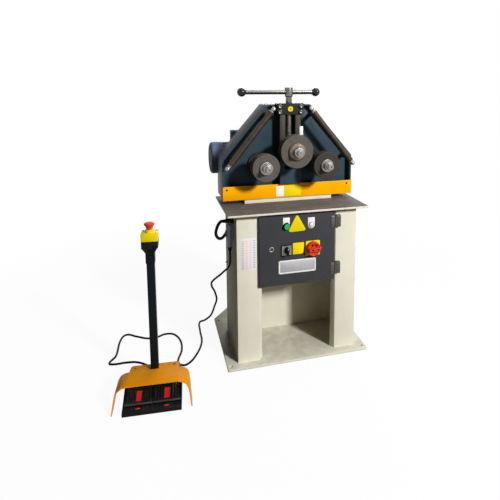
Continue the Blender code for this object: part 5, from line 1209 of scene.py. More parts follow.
@dataclass
class Cords(Assembly):
    """The short lead from the machine to the coupler, and the pedal unit's cable on the floor."""

    lead_radius: float = 7.5
    cable_radius: float = 5.2
    lead_route: list[Place] = field(
        default_factory=lambda: [
            (-357.4, -75, 710), (-366, -75, 710), (-378, -74.5, 698), (-387, -72, 677), (-392, -69, 653),
            (-387, -64, 632), (-374, -58, 619), (-358, -52, 620), (-344, -47, 633), (-332, -42.5, 649),
            (-319, -40, 655), (-307, -40, 655)
        ]
    )
    cable_route: list[Place] = field(
        default_factory=lambda: [
            (-326, -75, 559.3), (-325, -74, 530), (-327, -60, 479), (-356, 10, 411), (-398, 84, 340),
            (-396, 118, 300), (-378, 150, 255), (-363, 190, 190), (-371, 226, 133), (-388, 272, 58),
            (-418, 304, 17), (-448, 308, 6), (-456, 217, 5.5), (-459, 92, 5.5), (-497, -19, 5.5),
            (-553, -92, 5.5), (-590, -66, 5.5), (-566, 45, 5.5), (-568, 140, 5.5), (-600, 214, 5.5),
            (-645, 228, 5.5), (-688, 208, 5.5), (-735, 208, 5.5), (-798, 247, 5.5), (-850, 278, 5.5),
            (-877, 226, 5.5), (-890, 80, 5.5), (-916, 22, 5.5), (-886, 8, 5.5), (-843, 8, 5.5),
            (-790, -2, 5.5), (-745, -36, 5.5), (-718, -80, 9), (-710.6, -121.4, 22), (-711.85, -136.9, 22)
        ]
    )

    def build(self) -> None:
        """Lays both cords."""
        for name, route, radius, stiffness, lay in (
            ("short_lead_sheath", self.lead_route, self.lead_radius, "medium", "hanging"),
            ("pedal_cable_sheath", self.cable_route, self.cable_radius, "medium", "loose"),
        ):
            points = [Vector(place) * MM for place in route]
            piece = Shape.cord(name, points, radius)
            node = name.removesuffix("_sheath")
            thing = self.take(piece, "stand", Finishes.rubber, slot="rubber", node=node)
            tuple(points[0])

    @staticmethod
    def measured(thing: bpy.types.Object) -> float:
        """Returns a cord's length in metres along its own curve."""
        return round(thing.data.splines[0].calc_length(), 4)


@dataclass
class Stand(Assembly):
    """Floor plate, folded columns, rear panel, table and plinth, and the sheet on the left column."""

    plate: tuple[float, ...] = (363.5, -206, 314, 267.5, 433)
    column_front: float = -160
    sheet_x: Pair = (-287, -210.5)
    sheet_z: Pair = (480, 641)
    sheet_corner: float = 1.5
    sheet_proud: float = 0.35
    plate_thick: float = 12
    anchor_radius: float = 8
    anchor_x: float = 344.5
    anchor_front: float = -178
    anchor_rear: float = 286
    weld_radius: float = 2.2
    weld_start: float = 199
    weld_step: float = 4
    weld_wave: float = 0.35
    stud: Place = (-306.5, 126, 424)

    def build(self) -> None:
        """Makes the stand's pieces."""
        self.floor_plate()
        for node in ("left_column", "right_column"):
            self.fine(node, Finishes.cream, slot="cream_paint", width=1.2, segments=3)
        self.fine("back_panel", Finishes.cream, slot="cream_paint", width=0.8)
        self.fine("head_plinth", Finishes.cream, slot="cream_paint", width=1.2)
        self.fine(
            "table_top", Finishes.cream, Finishes.table, slot="worn_table", width=1.5,
            second=lambda face: face.normal.z > 0.9
        )
        self.column_sheet()
        self.welds()
        side, across, up = self.stud
        washer = Shape.prism("earth_stud", ring(across, up, 9, 28), side - 1.8, side - 0.2, Axis.X)
        nut = Shape.prism("stud_nut", hexagon(across, up, 11), side - 8, side - 1.6, Axis.X)
        end = Shape.prism("stud_end", ring(across, up, 3.8, 24), side - 13, side - 7, Axis.X)
        stud = washer.with_parts(nut, end).bevelled(0.5)
        self.take(stud, "stand", Finishes.brass, slot="zinc")

    def floor_plate(self) -> None:
        """Cuts the floor plate to its outline, with four anchor holes."""
        x, front, side, tip, rear = self.plate
        outline = soft([(-x, front), (x, front), (x, side), (tip, rear), (-tip, rear), (-x, side)], 8)
        piece = Shape.prism("floor_plate", outline, 0, self.plate_thick, Axis.Z).bevelled(1.4, 2, 60)
        hole, top = self.anchor_radius, self.plate_thick
        profile = [
            (0, -2), (hole, -2), (hole, top - 1), (hole + 1.2, top + 0.2), (hole + 1.2, top + 2), (0, top + 2)
        ]
        for across in (-self.anchor_x, self.anchor_x):
            for along in (self.anchor_front, self.anchor_rear):
                piece.without(Shape.turned("anchor_hole", profile, (across, along), 32, Axis.Z))
        self.take(piece, "stand", Finishes.cream_floor, slot="cream_paint", node="base_plate")

    def column_sheet(self) -> None:
        """Sticks the printed sheet to the left column."""
        low = (self.sheet_x[0], self.sheet_z[0])
        high = (self.sheet_x[1], self.sheet_z[1])
        outline = plate_outline(self.sheet_x, self.sheet_z, self.sheet_corner)
        face = self.column_front - self.sheet_proud
        sheet = Shape.prism("column_sheet", outline, face, self.column_front + self.sheet_proud)
        sheet.bevelled(0.12, 2)
        self.take(sheet, "stand", Printed("printed_sheet", low, high), slot="cream_paint")

    def welds(self) -> None:
        """Runs a weld bead along the foot of each column's front."""
        for side in (-1, 1):
            points = []
            for step in range(28):
                x = side * (self.weld_start + step * self.weld_step)
                wave = self.weld_wave * math.sin(step * 2.3)
                points.append(Vector((x, self.column_front - 0.4 + wave, self.plate_thick + 0.6 + wave)) * MM)
            bead = Shape.cord(f"foot_weld_{'left' if side < 0 else 'right'}", points, self.weld_radius)
            bead.object.data.resolution_u = 3
            bead.object.data.bevel_resolution = 2
            bead.pick()
            bpy.ops.object.convert(target="MESH")
            self.take(bead, "stand", Finishes.cream, slot="cream_paint", smooth=60)


@dataclass
class Cabinet(Assembly):
    """The electrical cabinet: box, component plate, door with its plates and controls."""

    left: float = -200
    right: float = 185
    low: float = 393.5
    top: float = 754.5
    face: float = -175
    back: float = -161
    sheet: float = 2
    hinge_x: float = 190.5
    hinge_y: float = -178
    hinge_height: float = 60
    hinge_lows: Pair = (423, 665)
    leaf_width: float = 26
    knuckle: float = 4.5
    button: Pair = (-66, 690.5)
    lamp: Pair = (61, 686.5)
    lock: Pair = (-140, 579.5)
    selector: Pair = (-65, 569.5)
    switch: Pair = (68, 569.5)
    cam: Pair = (-155.7, -153.2)
    plate_depth: float = 6
    triangle: tuple[Pair, ...] = ((-58, 659), (36, 661), (-12, 748))
    square: tuple[Pair, Pair] = ((-33, 24), (545, 602))
    long_plate: tuple[Pair, Pair] = ((-105, 86), (450.5, 518))
    long_rim: float = 7

    def build(self) -> None:
        """Makes the cabinet's pieces."""
        self.fine("cabinet_box", Finishes.grey, slot="grey_sheet", width=0.6)
        self.components()
        self.door()
        self.hinges()
        self.plates()
        self.button_and_lamp()
        self.lock_insert()
        self.selector_knob()
        self.main_switch()

    def flat(self, name: str, outline: Outline, thick: float, *finish: Any, **options: Any) -> None:
        """Fixes a thin plate to the door's face.

        Args:
            name: The plate's name.
            outline: Its outline across X and Z.
            thick: How far it stands proud.
            finish: Its finishes.
            options: Other arguments for take.
        """
        plate = Shape.prism(name, outline, self.face - thick, self.face + 0.3)
        plate.bevelled(min(0.4, thick * 0.4), 2)
        self.take(plate, "door", *finish, **options)

    def raised(self, name: str, centre: Pair, half: float, corner: float) -> Shape:
        """Starts a square plate that stands off the door, and returns it.

        Args:
            name: The plate's name.
            centre: Its centre across X and Z.
            half: Half its side.
            corner: The radius of its corners.

        Returns:
            The plate.
        """
        x, z = centre
        outline = plate_outline((x - half, x + half), (z - half, z + half), corner)
        return Shape.prism(name, outline, self.face - self.plate_depth, self.face + 0.5)

    def door(self) -> None:
        """Folds the door's tray from a block: its rear inset and pushed in."""
        tray = Shape.block("door_tray", (self.left, self.right), (self.face, self.back), (self.low, self.top))
        depth = self.back - self.face - self.sheet
        tray.sunk(lambda face: face.normal.y > 0.9, self.sheet, depth)
        tray.bevelled(1.1, 3)
        self.take(tray, "door", Finishes.charcoal, slot="charcoal_paint", node="cabinet_door")
        boss = Shape.turned(
            "lock_boss", [(8.6, self.face + 1), (11.5, self.face + 1), (11.5, self.back), (8.6, self.back)],
            self.lock, 24
        )
        self.take(boss, "door", Finishes.charcoal, slot="charcoal_paint")
        seal = Shape.prism(
            "door_seal", plate_outline((self.left + 6, self.right - 6), (self.low + 6, self.top - 6), 5),
            self.back - 6, self.back - 1.2
        )
        inner = plate_outline((self.left + 12, self.right - 12), (self.low + 12, self.top - 12), 4)
        seal.without(Shape.prism("seal_inside", inner, self.back - 8, self.back + 2))
        self.take(seal.bevelled(1.4, 2), "door", Finishes.rubber, slot="rubber")

    def hinges(self) -> None:
        """Makes the hinge leaves, knuckles and screws."""
        for number, (node, low) in enumerate(zip(("door_hinge_lower", "door_hinge_upper"), self.hinge_lows)):
            self.fine(node, Finishes.zinc, slot="zinc", width=0.6)
            middle = low + self.hinge_height / 2
            outline = plate_outline(
                (self.hinge_x - self.leaf_width, self.hinge_x - 4.2), (low, low + self.hinge_height), 2.5
            )
            leaf = Shape.prism(f"door_leaf_{number}", outline, self.hinge_y, self.face + 0.4).bevelled(0.5)
            profile = [(2.5, middle + 0.3), (self.knuckle - 0.4, middle + 0.3), (self.knuckle, middle + 0.7)]
            top = low + self.hinge_height
            profile += [(self.knuckle, top - 0.4), (self.knuckle - 0.4, top), (2.5, top)]
            knuckle = Shape.turned(
                f"door_knuckle_{number}", profile, (self.hinge_x, self.hinge_y), 28, Axis.Z
            )
            self.take(leaf.with_parts(knuckle), "door", Finishes.zinc, slot="zinc")
            head = self.fasteners.dome_screw(4.2, 1.6)
            for z in (low + 14, top - 14):
                for body, x in (("door", self.hinge_x - 16), ("stand", self.hinge_x + 16)):
                    screw = head.copied(
                        f"hinge_screw_{number}_{body}_{round(z)}", (x, self.hinge_y + 0.2, z), 30
                    )
                    self.take(screw, body, Finishes.screw_black, slot="zinc")

    def plates(self) -> None:
        """Fixes the bare plates: triangle, two legends, one square sign and the framed long plate."""
        self.flat("plain_triangle", soft(self.triangle, 8), 1.2, Finishes.sign, slot="yellow_plastic")
        square = plate_outline(*self.square, 2.5)
        self.flat("plain_square", square, 0.8, Finishes.sign, slot="yellow_plastic")
        x, z = self.lamp
        legend = arc(x, z, 17.5, 180, 360, 16) + [(x + 17.5, z + 38), (x - 17.5, z + 38)]
        self.flat("lamp_legend", legend, 1.0, Finishes.blank, slot="white_lens")
        x, z = self.button
        legend = plate_outline((x - 17, x + 17), (z - 8, z + 42), 3)
        self.flat("button_legend", legend, 1.0, Finishes.blank, slot="white_lens")
        (left, right), (low, high) = self.long_plate
        outline = plate_outline((left, right), (low, high), 3)
        rim = Shape.prism("long_plate_rim", outline, self.face - 1.8, self.face + 0.3)
        inner = plate_outline(
            (left + self.long_rim, right - self.long_rim), (low + self.long_rim, high - self.long_rim), 1.5
        )
        rim.without(Shape.prism("rim_inside", inner, self.face - 4, self.face + 2))
        self.take(rim.bevelled(0.4), "door", Finishes.blank, slot="zinc")
        panel = Shape.prism("long_plate_face", outline, self.face - 1.0, self.face + 0.2)
        self.take(panel.bevelled(0.2), "door", Finishes.silver, slot="zinc")
        rivet = self.fasteners.dome_screw(2.4, 1.0)
        for x in (left + 3.6, right - 3.6):
            for z in (low + 3.6, high - 3.6):
                pin = rivet.copied(f"plate_pin_{round(x)}_{round(z)}", (x, self.face - 1.5, z), 20)
                self.take(pin, "door", Finishes.zinc, slot="zinc")

    def button_and_lamp(self) -> None:
        """Makes the start button in its bezel, and the pilot lamp."""
        front = self.face - 12
        bezel = Shape.turned(
            "button_bezel",
            [
                (14.3, self.face + 0.3), (17.8, self.face + 0.3), (17.8, self.face - 3.5),
                (16.6, self.face - 4.5), (16.6, front + 1.2), (15.6, front), (14.3, front)
            ],
            self.button
        )
        self.take(bezel.bevelled(0.4), "door", Finishes.black, slot="black_plastic")
        seat = self.face - 4.3
        cap = front - 5
        profile = [(0, seat + 20), (5, seat + 20), (5, seat), (14, seat), (14, cap + 1.6)]
        profile += [(13.5, cap + 0.6), (12.4, cap), (11, cap + 0.3), (6, cap + 0.8), (0, cap + 0.9)]
        button = Shape.turned("start_button_cap", profile, self.button)
        self.take(button, "start_button", Finishes.green, slot="green_plastic", node="start_button")
        seat = self.face - GAP
        profile = [(0.0, self.back), (5, self.back), (5, seat), (14, seat), (14, seat - 2)]
        profile += [(12.6, seat - 2), (12.6, seat - 2.6)]
        profile += [(12.6 * math.cos(a), seat - 2.6 - 6.4 * math.sin(a)) for a in (0.3, 0.6, 0.9, 1.2)]
        lens = Shape.turned("pilot_lamp_lens", profile + [(0, seat - 9)], self.lamp)
        self.take(
            lens, "door", Finishes.zinc, Finishes.lens, slot="white_lens", node="pilot_lamp", smooth=45,
            second=lambda face: face.center.y < (seat - 2.5) * MM
        )

    def lock_insert(self) -> None:
        """Makes the cam lock: its turned rim and the bar inside for the key."""
        x, z = self.lock
        profile = [
            (0, self.face + 2), (8, self.face + 2), (8, self.face - 2.2), (9, self.face - 3),
            (11, self.face - 3)
        ]
        profile += [(12.5, self.face - 1.8), (12.5, self.face - 0.3), (8, self.face - 0.3)]
        profile += [(8, self.face + 21), (0, self.face + 21)]
        rim = Shape.turned("lock_rim", profile, self.lock, 36)
        wings = Shape.block(
            "lock_bar", (x - 6.6, x + 6.6), (self.face - 1.8, self.face + 3), (z - 1.6, z + 1.6)
        )
        core = Shape.turned(
            "lock_core",
            [(0, self.face + 3), (3.6, self.face + 3), (3.6, self.face - 2.2), (0, self.face - 2.2)],
            self.lock, 20
        )
        outline = arc(x, z - 21, 6, 180, 360, 10) + arc(x, z, 6, 0, 180, 10)
        cam = Shape.prism("lock_cam", outline, *self.cam)
        lock = rim.with_parts(wings, core, cam).bevelled(0.3)
        self.take(
            lock, "lock", Finishes.bright, Finishes.screw_black, slot="chrome", node="door_lock",
            second=lambda face: math.hypot(face.center.x / MM - x, face.center.z / MM - z) < 7.2,
        )

    def selector_knob(self) -> None:
        """Makes the selector's grey plate and black knob, its grip upright."""
        x, z = self.selector
        plate = self.raised("selector_plate", (x, z), 27, 3)
        plate.sunk(lambda face: face.normal.y < -0.9, 3.2, 0.5).bevelled(0.5, 2)
        self.take(
            plate, "door", Finishes.black, Finishes.selector_metal, slot="black_plastic",
            second=lambda face: face.normal.y < -0.9 and face.center.y > (
                self.face - self.plate_depth + 0.3
            ) * MM
        )
        seat = self.face - self.plate_depth - GAP
        knob = Shape.turned(
            "selector_base",
            [
                (0, seat + 28), (5, seat + 28), (5, seat), (13, seat), (12.4, seat - 8.8), (11.4, seat - 10),
                (0, seat - 10)
            ],
            self.selector
        )
        outline = arc(x, z + 15.5, 5.2, 0, 180, 12) + arc(x, z - 15.5, 5.2, 180, 360, 12)
        grip = Shape.prism("selector_grip", outline, seat - 25, seat - 1.5).bevelled(1.4, 3)
        pointer = Shape.block("selector_line", (x - 0.8, x + 0.8), (seat - 25.25, seat - 22), (z + 8, z + 19))
        piece = knob.bevelled(0.6).with_parts(grip)
        self.take(piece, "selector", Finishes.black, slot="black_plastic", node="selector_knob")
        self.take(pointer.bevelled(0.2), "selector", Finishes.blank, slot="white_lens")

    def main_switch(self) -> None:
        """Makes the main switch: yellow plate, red rotary disc and its handle, across."""
        x, z = self.switch
        plate = self.raised("main_switch_plate", (x, z), 37, 4)
        self.take(plate.bevelled(1.0, 3), "door", Finishes.sign, slot="yellow_plastic")
        seat = self.face - self.plate_depth - GAP
        profile = [(0, seat + 28), (5, seat + 28), (5, seat), (36, seat), (36, seat - 12), (35, seat - 16)]
        profile += [
            (33.4, seat - 19), (31.6, seat - 20), (29.6, seat - 19.2), (28, seat - 16), (0, seat - 16)
        ]
        disc = Shape.turned("main_switch_disc", profile, self.switch, 60).bevelled(0.5)
        outline = arc(x + 21.3, z, 8.3, -90, 90, 12) + arc(x - 21.3, z, 8.3, 90, 270, 12)
        grip = Shape.prism("main_switch_grip", outline, seat - 34, seat - 15)
        for side in (-1, 1):
            hollow = plate_outline((x + side * 14 - 8, x + side * 14 + 8), (z - 4.6, z + 4.6), 3)
            grip.without(Shape.prism("thumb_hollow", hollow, seat - 36, seat - 24))
        grip.bevelled(1.2, 3)
        arrow = [(x + 30, z - 10), (x + 45, z - 0.8), (x + 45, z + 0.8), (x + 30, z + 10)]
        pointer = Shape.prism("main_switch_pointer", arrow, seat - 13, seat - 0.6).bevelled(0.8, 2)
        for number in range(3):
            angle = math.radians(60 + 60 * number)
            hole = soft([(-9, 13.5), (9, 13.5), (9, 25), (-9, 25)], 3.5)
            window = Shape.prism("lock_window", hole, seat - 18, seat - 6)
            turn = Matrix.Rotation(angle - math.pi / 2, 4, "Y")
            window.placed(moved(x, 0, z) @ turn)
            disc.without(window)
        piece = disc.with_parts(grip, pointer)
        self.take(piece, "main_switch", Finishes.red, slot="red_plastic", node="main_switch_knob")

    def components(self) -> None:
        """Makes the component plate with rail, contactors and transformer behind the door."""
        self.fine("component_plate", Finishes.grey, slot="grey_sheet", width=0.8)
        low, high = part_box("component_plate")
        front = low[1] / MM
        plate = front + 78
        middle = (low[2] + high[2]) / 2 / MM
        left = low[0] / MM + 26.2
        head = self.fasteners.dome_screw(3.2, 1.2)
        for index in range(2):
            x = left + index * 54 + 22.5
            body = Shape.block(
                f"contactor_{index}", (x - 21.5, x + 21.5), (front + 0.2, plate - 9),
                (middle - 39, middle + 39)
            )
            body.bevelled(1.2)
            for z in (-1, 1):
                shelf = Shape.block(
                    "terminal_step", (x - 25, x + 25), (front - 5, front + 16),
                    (middle + z * 31 - 9, middle + z * 31 + 9)
                )
                body.without(shelf)
            band = Shape.block(
                "plunger", (x - 9, x + 9), (front - 0.1, front + 4), (middle - 8, middle + 8)
            ).bevelled(0.8)
            self.take(body, "stand", Finishes.cream_plastic, slot="grey_sheet")
            self.take(band, "stand", Finishes.black, slot="black_plastic")
            for z in (-31, 31):
                for side in (-13, 0, 13):
                    screw = head.copied(
                        f"terminal_{index}_{z}_{side}", (x + side, front + 16.2, middle + z), 25
                    )
                    self.take(screw, "stand", Finishes.zinc, slot="zinc")


@dataclass
class RollHead(Assembly):
    """The head: shell, plates, guard, slide with its screw and T-bar, and the two guide bars."""

    guard_face: float = -6.3
    guide_face: float = -20
    screw_y: float = 10
    bar_z: float = 1329.9
    bar_middle: float = -49.5
    bar_half: float = 192.5
    bar_radius: float = 11.3
    ball_radius: float = 22.3
    hub_low: float = 1306.9
    hub_height: float = 46
    hub_radius: float = 20.5
    thread_radius: float = 16
    thread_depth: float = 1.9
    pitch: float = 5
    slide_top: float = 1104
    bracket: Pair = (1216.9, 1274.9)
    rod_radius: float = 14
    rod_top: Pair = (106, 1237)
    rod_low: Pair = (318, 974)
    rod_stand: float = 60
    dome: float = 11.5
    neck: float = -2.5
    screw_neck: float = 15.6
    plate_front: float = 32
    lug_radius: float = 11
    lug_inset: float = 26
    bright_end: float = 5.2
    guard_screws: tuple[Pair, ...] = ((-325, 846), (318, 846))
    guard_plates: tuple[Pair, Pair] = ((-72, -30), (-29.6, 63))
    guard_plate_z: Pair = (798, 852)
    disc: Pair = (0, 1246)
    scale_face: tuple[Pair, Pair] = ((48, 67), (1113, 1158))

    def build(self) -> None:
        """Makes the head's pieces."""
        # The shell's faces that look sideways or up take the lighter band paint as painted sheen.
        self.fine(
            "head_shell", Finishes.petrol, Finishes.band, slot="blue_grey_paint", width=1.6, segments=3,
            second=lambda face: abs(face.normal.y) < 0.5
        )
        self.fine("front_plate", Finishes.petrol, slot="petrol_paint", width=0.8)
        self.fine("rear_cover", Finishes.petrol, slot="petrol_paint", width=1.2)
        self.fine("guard_strip", Finishes.guard, slot="guard_yellow", width=1.0)
        self.fine("slide_block", Finishes.guide_steel, slot="bright_steel", width=1.2)
        self.guide()
        self.guard_details()
        self.bracket_details()
        self.screw()
        self.bar()
        self.guide_bars()

    def guide(self) -> None:
        """Makes the guide: bare sliding strips above, painted below, and the height scale."""
        guide = Shape.from_node("guide_housing").bevelled(1.2)
        with guide.bench():
            bpy.ops.mesh.bisect(plane_co=(0, 0, 1.0), plane_no=(0, 0, 1))
        self.take(
            guide, "stand", Finishes.petrol, Finishes.guide_steel, slot="petrol_paint", node="guide_housing",
            second=lambda face: face.center.z > 1.0 and face.normal.y < -0.7
        )
        outline = plate_outline(*self.scale_face, 1.2)
        plate = Shape.prism("scale_plate", outline, self.guide_face - 1.4, self.guide_face - 0.1)
        self.take(plate.bevelled(0.3), "stand", Finishes.scale, slot="white_lens")

    def guard_details(self) -> None:
        """Fixes the guard's screws and its bare two-part plate."""
        head = self.fasteners.dome_screw(5.5, 2.2)
        for x, z in self.guard_screws:
            screw = head.copied(f"guard_screw_{x}", (x, self.guard_face + 0.2, z), 20)
            self.take(screw, "stand", Finishes.screw_black, slot="zinc")
        sides = ("left", "right")
        for side, x, finish in zip(sides, self.guard_plates, (Finishes.blank, Finishes.sign)):
            name = f"guard_plate_{side}"
            outline = plate_outline(x, self.guard_plate_z, 1.5)
            plate = Shape.prism(name, outline, self.guard_face - 0.5, self.guard_face + 0.2).bevelled(0.2)
            self.take(plate, "stand", finish, slot="guard_yellow")

    def bracket_details(self) -> None:
        """Makes the bracket with round lower corners, its four cap screws and the yellow disc."""
        self.fine("top_bracket", Finishes.cast_black, slot="petrol_paint", width=3.6, segments=4)
        head = self.fasteners.cap_screw(10, 10, 10)
        for x in (-55, 55):
            for z in (self.bracket[0] + 14, self.bracket[1] - 15):
                name = f"bracket_screw_{x}_{round(z)}"
                self.take(
                    head.copied(name, (x, self.guide_face + 0.2, z), 15).bevelled(0.5), "stand",
                    Finishes.screw_grey, slot="bright_steel"
                )
        front = self.guide_face
        profile = [
            (0, front + 0.5), (13.5, front + 0.5), (13.5, front - 1.4), (12.6, front - 2), (3, front - 2)
        ]
        disc = Shape.turned("bracket_disc", profile + [(3, front - 1), (0, front - 1)], self.disc, 40)
        self.take(
            disc, "stand", Finishes.sign, Finishes.sign_line, slot="yellow_plastic",
            second=lambda face: face.center.y > (front - 1.5) * MM and face.normal.y < -0.9
        )

    def screw(self) -> None:
        """Cuts the lead screw's thread as a true helix, and turns its hub with the cross hole."""
        root = self.thread_radius - self.thread_depth
        low = self.slide_top + 1
        turns = int((self.bracket[1] - low) / self.pitch)
        flank = self.pitch / 4
        tooth = [(root, 0), (root, flank * 0.8), (self.thread_radius, flank * 1.6)]
        tooth += [(self.thread_radius, flank * 2.8), (root, flank * 3.6), (root, flank * 4)]
        thread = Shape.line("screw_thread", [Axis.Z.spot(radius, 0, low + along) for radius, along in tooth])
        thread.pick()
        wound = thread.object.modifiers.new("wound", "SCREW")
        wound.axis = "Z"
        wound.angle = math.tau
        wound.screw_offset = self.pitch * MM
        wound.iterations = turns
        wound.steps = wound.render_steps = 32
        wound.use_merge_vertices = True
        wound.merge_threshold = 0.0001
        bpy.ops.object.modifier_apply(modifier=wound.name)
        thread.placed(moved(0, self.screw_y, 0)).tidied()
        top = self.hub_low + self.hub_height
        end = low + turns * self.pitch
        profile = [
            (0, self.slide_top + 0.3), (root - 0.6, self.slide_top + 0.3), (root - 0.2, low + self.pitch)
        ]
        profile += [(root - 0.2, end), (self.screw_neck, end + 1), (self.screw_neck, self.hub_low - 1.4)]
        profile += [(17.2, self.hub_low + 1), (self.hub_radius - 1, self.hub_low + 2)]
        profile += [(self.hub_radius, self.hub_low + 3), (self.hub_radius, top - 1.5)]
        profile += [(self.hub_radius - 1.5, top), (4, top), (2.5, top - 3), (0, top - 3)]
        hub = Shape.turned("screw_hub", profile, (0, self.screw_y), 64, Axis.Z)
        hole = Shape.turned(
            "cross_hole", [(0, -40), (self.bar_radius + 0.5, -40), (self.bar_radius + 0.5, 40), (0, 40)],
            (self.screw_y, self.bar_z), 40, Axis.X,
        )
        hub.without(hole).bevelled(0.5)
        collar = Shape.turned(
            "screw_collar",
            [
                (8, self.slide_top + 0.3), (19, self.slide_top + 0.3), (19, self.slide_top + 5),
                (18, self.slide_top + 6), (8, self.slide_top + 6)
            ],
            (0, self.screw_y), 40, Axis.Z
        )
        piece = hub.with_parts(thread, collar)
        self.take(
            piece, "screw", Finishes.bright_hub, Finishes.screw_steel, slot="bright_steel", node="lead_screw",
            second=lambda face: face.center.z < self.bracket[1] * MM
        )

    def bar(self) -> None:
        """Turns the T-bar and its two ball knobs."""
        centre = (self.screw_y, self.bar_z)
        reach = self.bar_half - 12
        rod = Shape.turned(
            "cross_bar",
            [
                (0, self.bar_middle - reach), (self.bar_radius, self.bar_middle - reach),
                (self.bar_radius, self.bar_middle + reach), (0, self.bar_middle + reach)
            ],
            centre, 48, Axis.X
        )
        balls = []
        for side in (-1, 1):
            middle = self.bar_middle + side * self.bar_half
            lead = math.asin((self.bar_radius + 1.2) / self.ball_radius)
            profile = []
            for step in range(23):
                angle = (math.pi - lead) * step / 22
                radius = self.ball_radius * math.sin(angle)
                profile.append((radius, middle + side * self.ball_radius * math.cos(angle)))
            last = profile[-1][1]
            profile += [
                (self.bar_radius + 1.2, last - side * 2.5), (self.bar_radius - 0.2, last - side * 2.5)
            ]
            balls.append(Shape.turned(f"ball_knob_{side}", profile, centre, 48, Axis.X))
        edge = self.bar_half - self.ball_radius - 2
        piece = rod.with_parts(*balls)
        self.take(
            piece, "t_bar", Finishes.chrome, Finishes.gloss_black, slot="chrome", node="t_bar",
            second=lambda face: abs(face.center.x / MM - self.bar_middle) > edge
        )

    def guide_bars(self) -> None:
        """Turns the slanting guide bars, their bright ends and the lugs that carry them."""
        for side, node in ((-1, "left_guide_bar"), (1, "right_guide_bar")):
            top = Vector((side * self.rod_top[0], -self.rod_stand, self.rod_top[1]))
            low = Vector((side * self.rod_low[0], -self.rod_stand, self.rod_low[1]))
            length = (low - top).length
            profile = [(0.0, self.neck - 2 * self.dome)]
            for angle in (20, 40, 60, 80, 100, 120, 140):
                turn = math.radians(angle)
                profile.append(
                    (self.dome * math.sin(turn), self.neck - self.dome - self.dome * math.cos(turn))
                )
            profile += [(6.6, 0.4 - self.dome * 0.2), (10.8, -0.6), (11.4, 0), (11.4, 3.5), (10.4, 4.2)]
            profile += [(12.8, 4.2), (self.rod_radius, 5.4)]
            profile += [(radius, length - along) for radius, along in reversed(profile)]
            rod = Shape.turned(f"{node}_rod", profile, (0, 0), 40, Axis.Z)
            rod.placed(moved(*top) @ (low - top).to_track_quat("Z", "Y").to_matrix().to_4x4())
            ends = self.bright_end
            run = (low - top).normalized()
            parts = []
            for number, spot in enumerate((top + run * self.lug_inset, low - run * self.lug_inset)):
                lug = Shape.turned(
                    f"{node}_lug_{number}",
                    [
                        (0, -self.rod_stand), (self.lug_radius, -self.rod_stand),
                        (self.lug_radius, self.plate_front - 5), (self.lug_radius + 2, self.plate_front - 3),
                        (self.lug_radius + 2, self.plate_front - GAP), (0, self.plate_front - GAP)
                    ],
                    (spot.x, spot.z), 36
                )
                parts.append(lug)
            piece = rod.with_parts(*parts)

            def bright(face: Any, start: Vector = top, way: Vector = run, span: float = length) -> bool:
                """Tells whether a face belongs to a bright end."""
                along = (face.center / MM - start).dot(way)
                near_axis = abs(face.center.y / MM + self.rod_stand) < 15
                return near_axis and not ends < along < span - ends

            self.take(
                piece, "stand", Finishes.oiled, Finishes.bright, slot="oiled_steel", node=node, smooth=38,
                second=bright
            )


@dataclass(frozen=True)
class Roll:
    """One roll set: its name, where its axis runs, its radius and the colour of its steel."""

    prefix: str
    x: float
    z: float
    radius: float
    colour: str = "5f5952"

    @property
    def body(self) -> str:
        """Returns the body that the set rides on."""
        return f"{self.prefix}_roll_set"

    def turned(self, name: str, profile: Outline, steps: int = 56) -> Shape:
        """Turns a piece on the set's axis, its name starting with the set's."""
        return Shape.turned(f"{self.prefix}_{name}", profile, (self.x, self.z), steps)


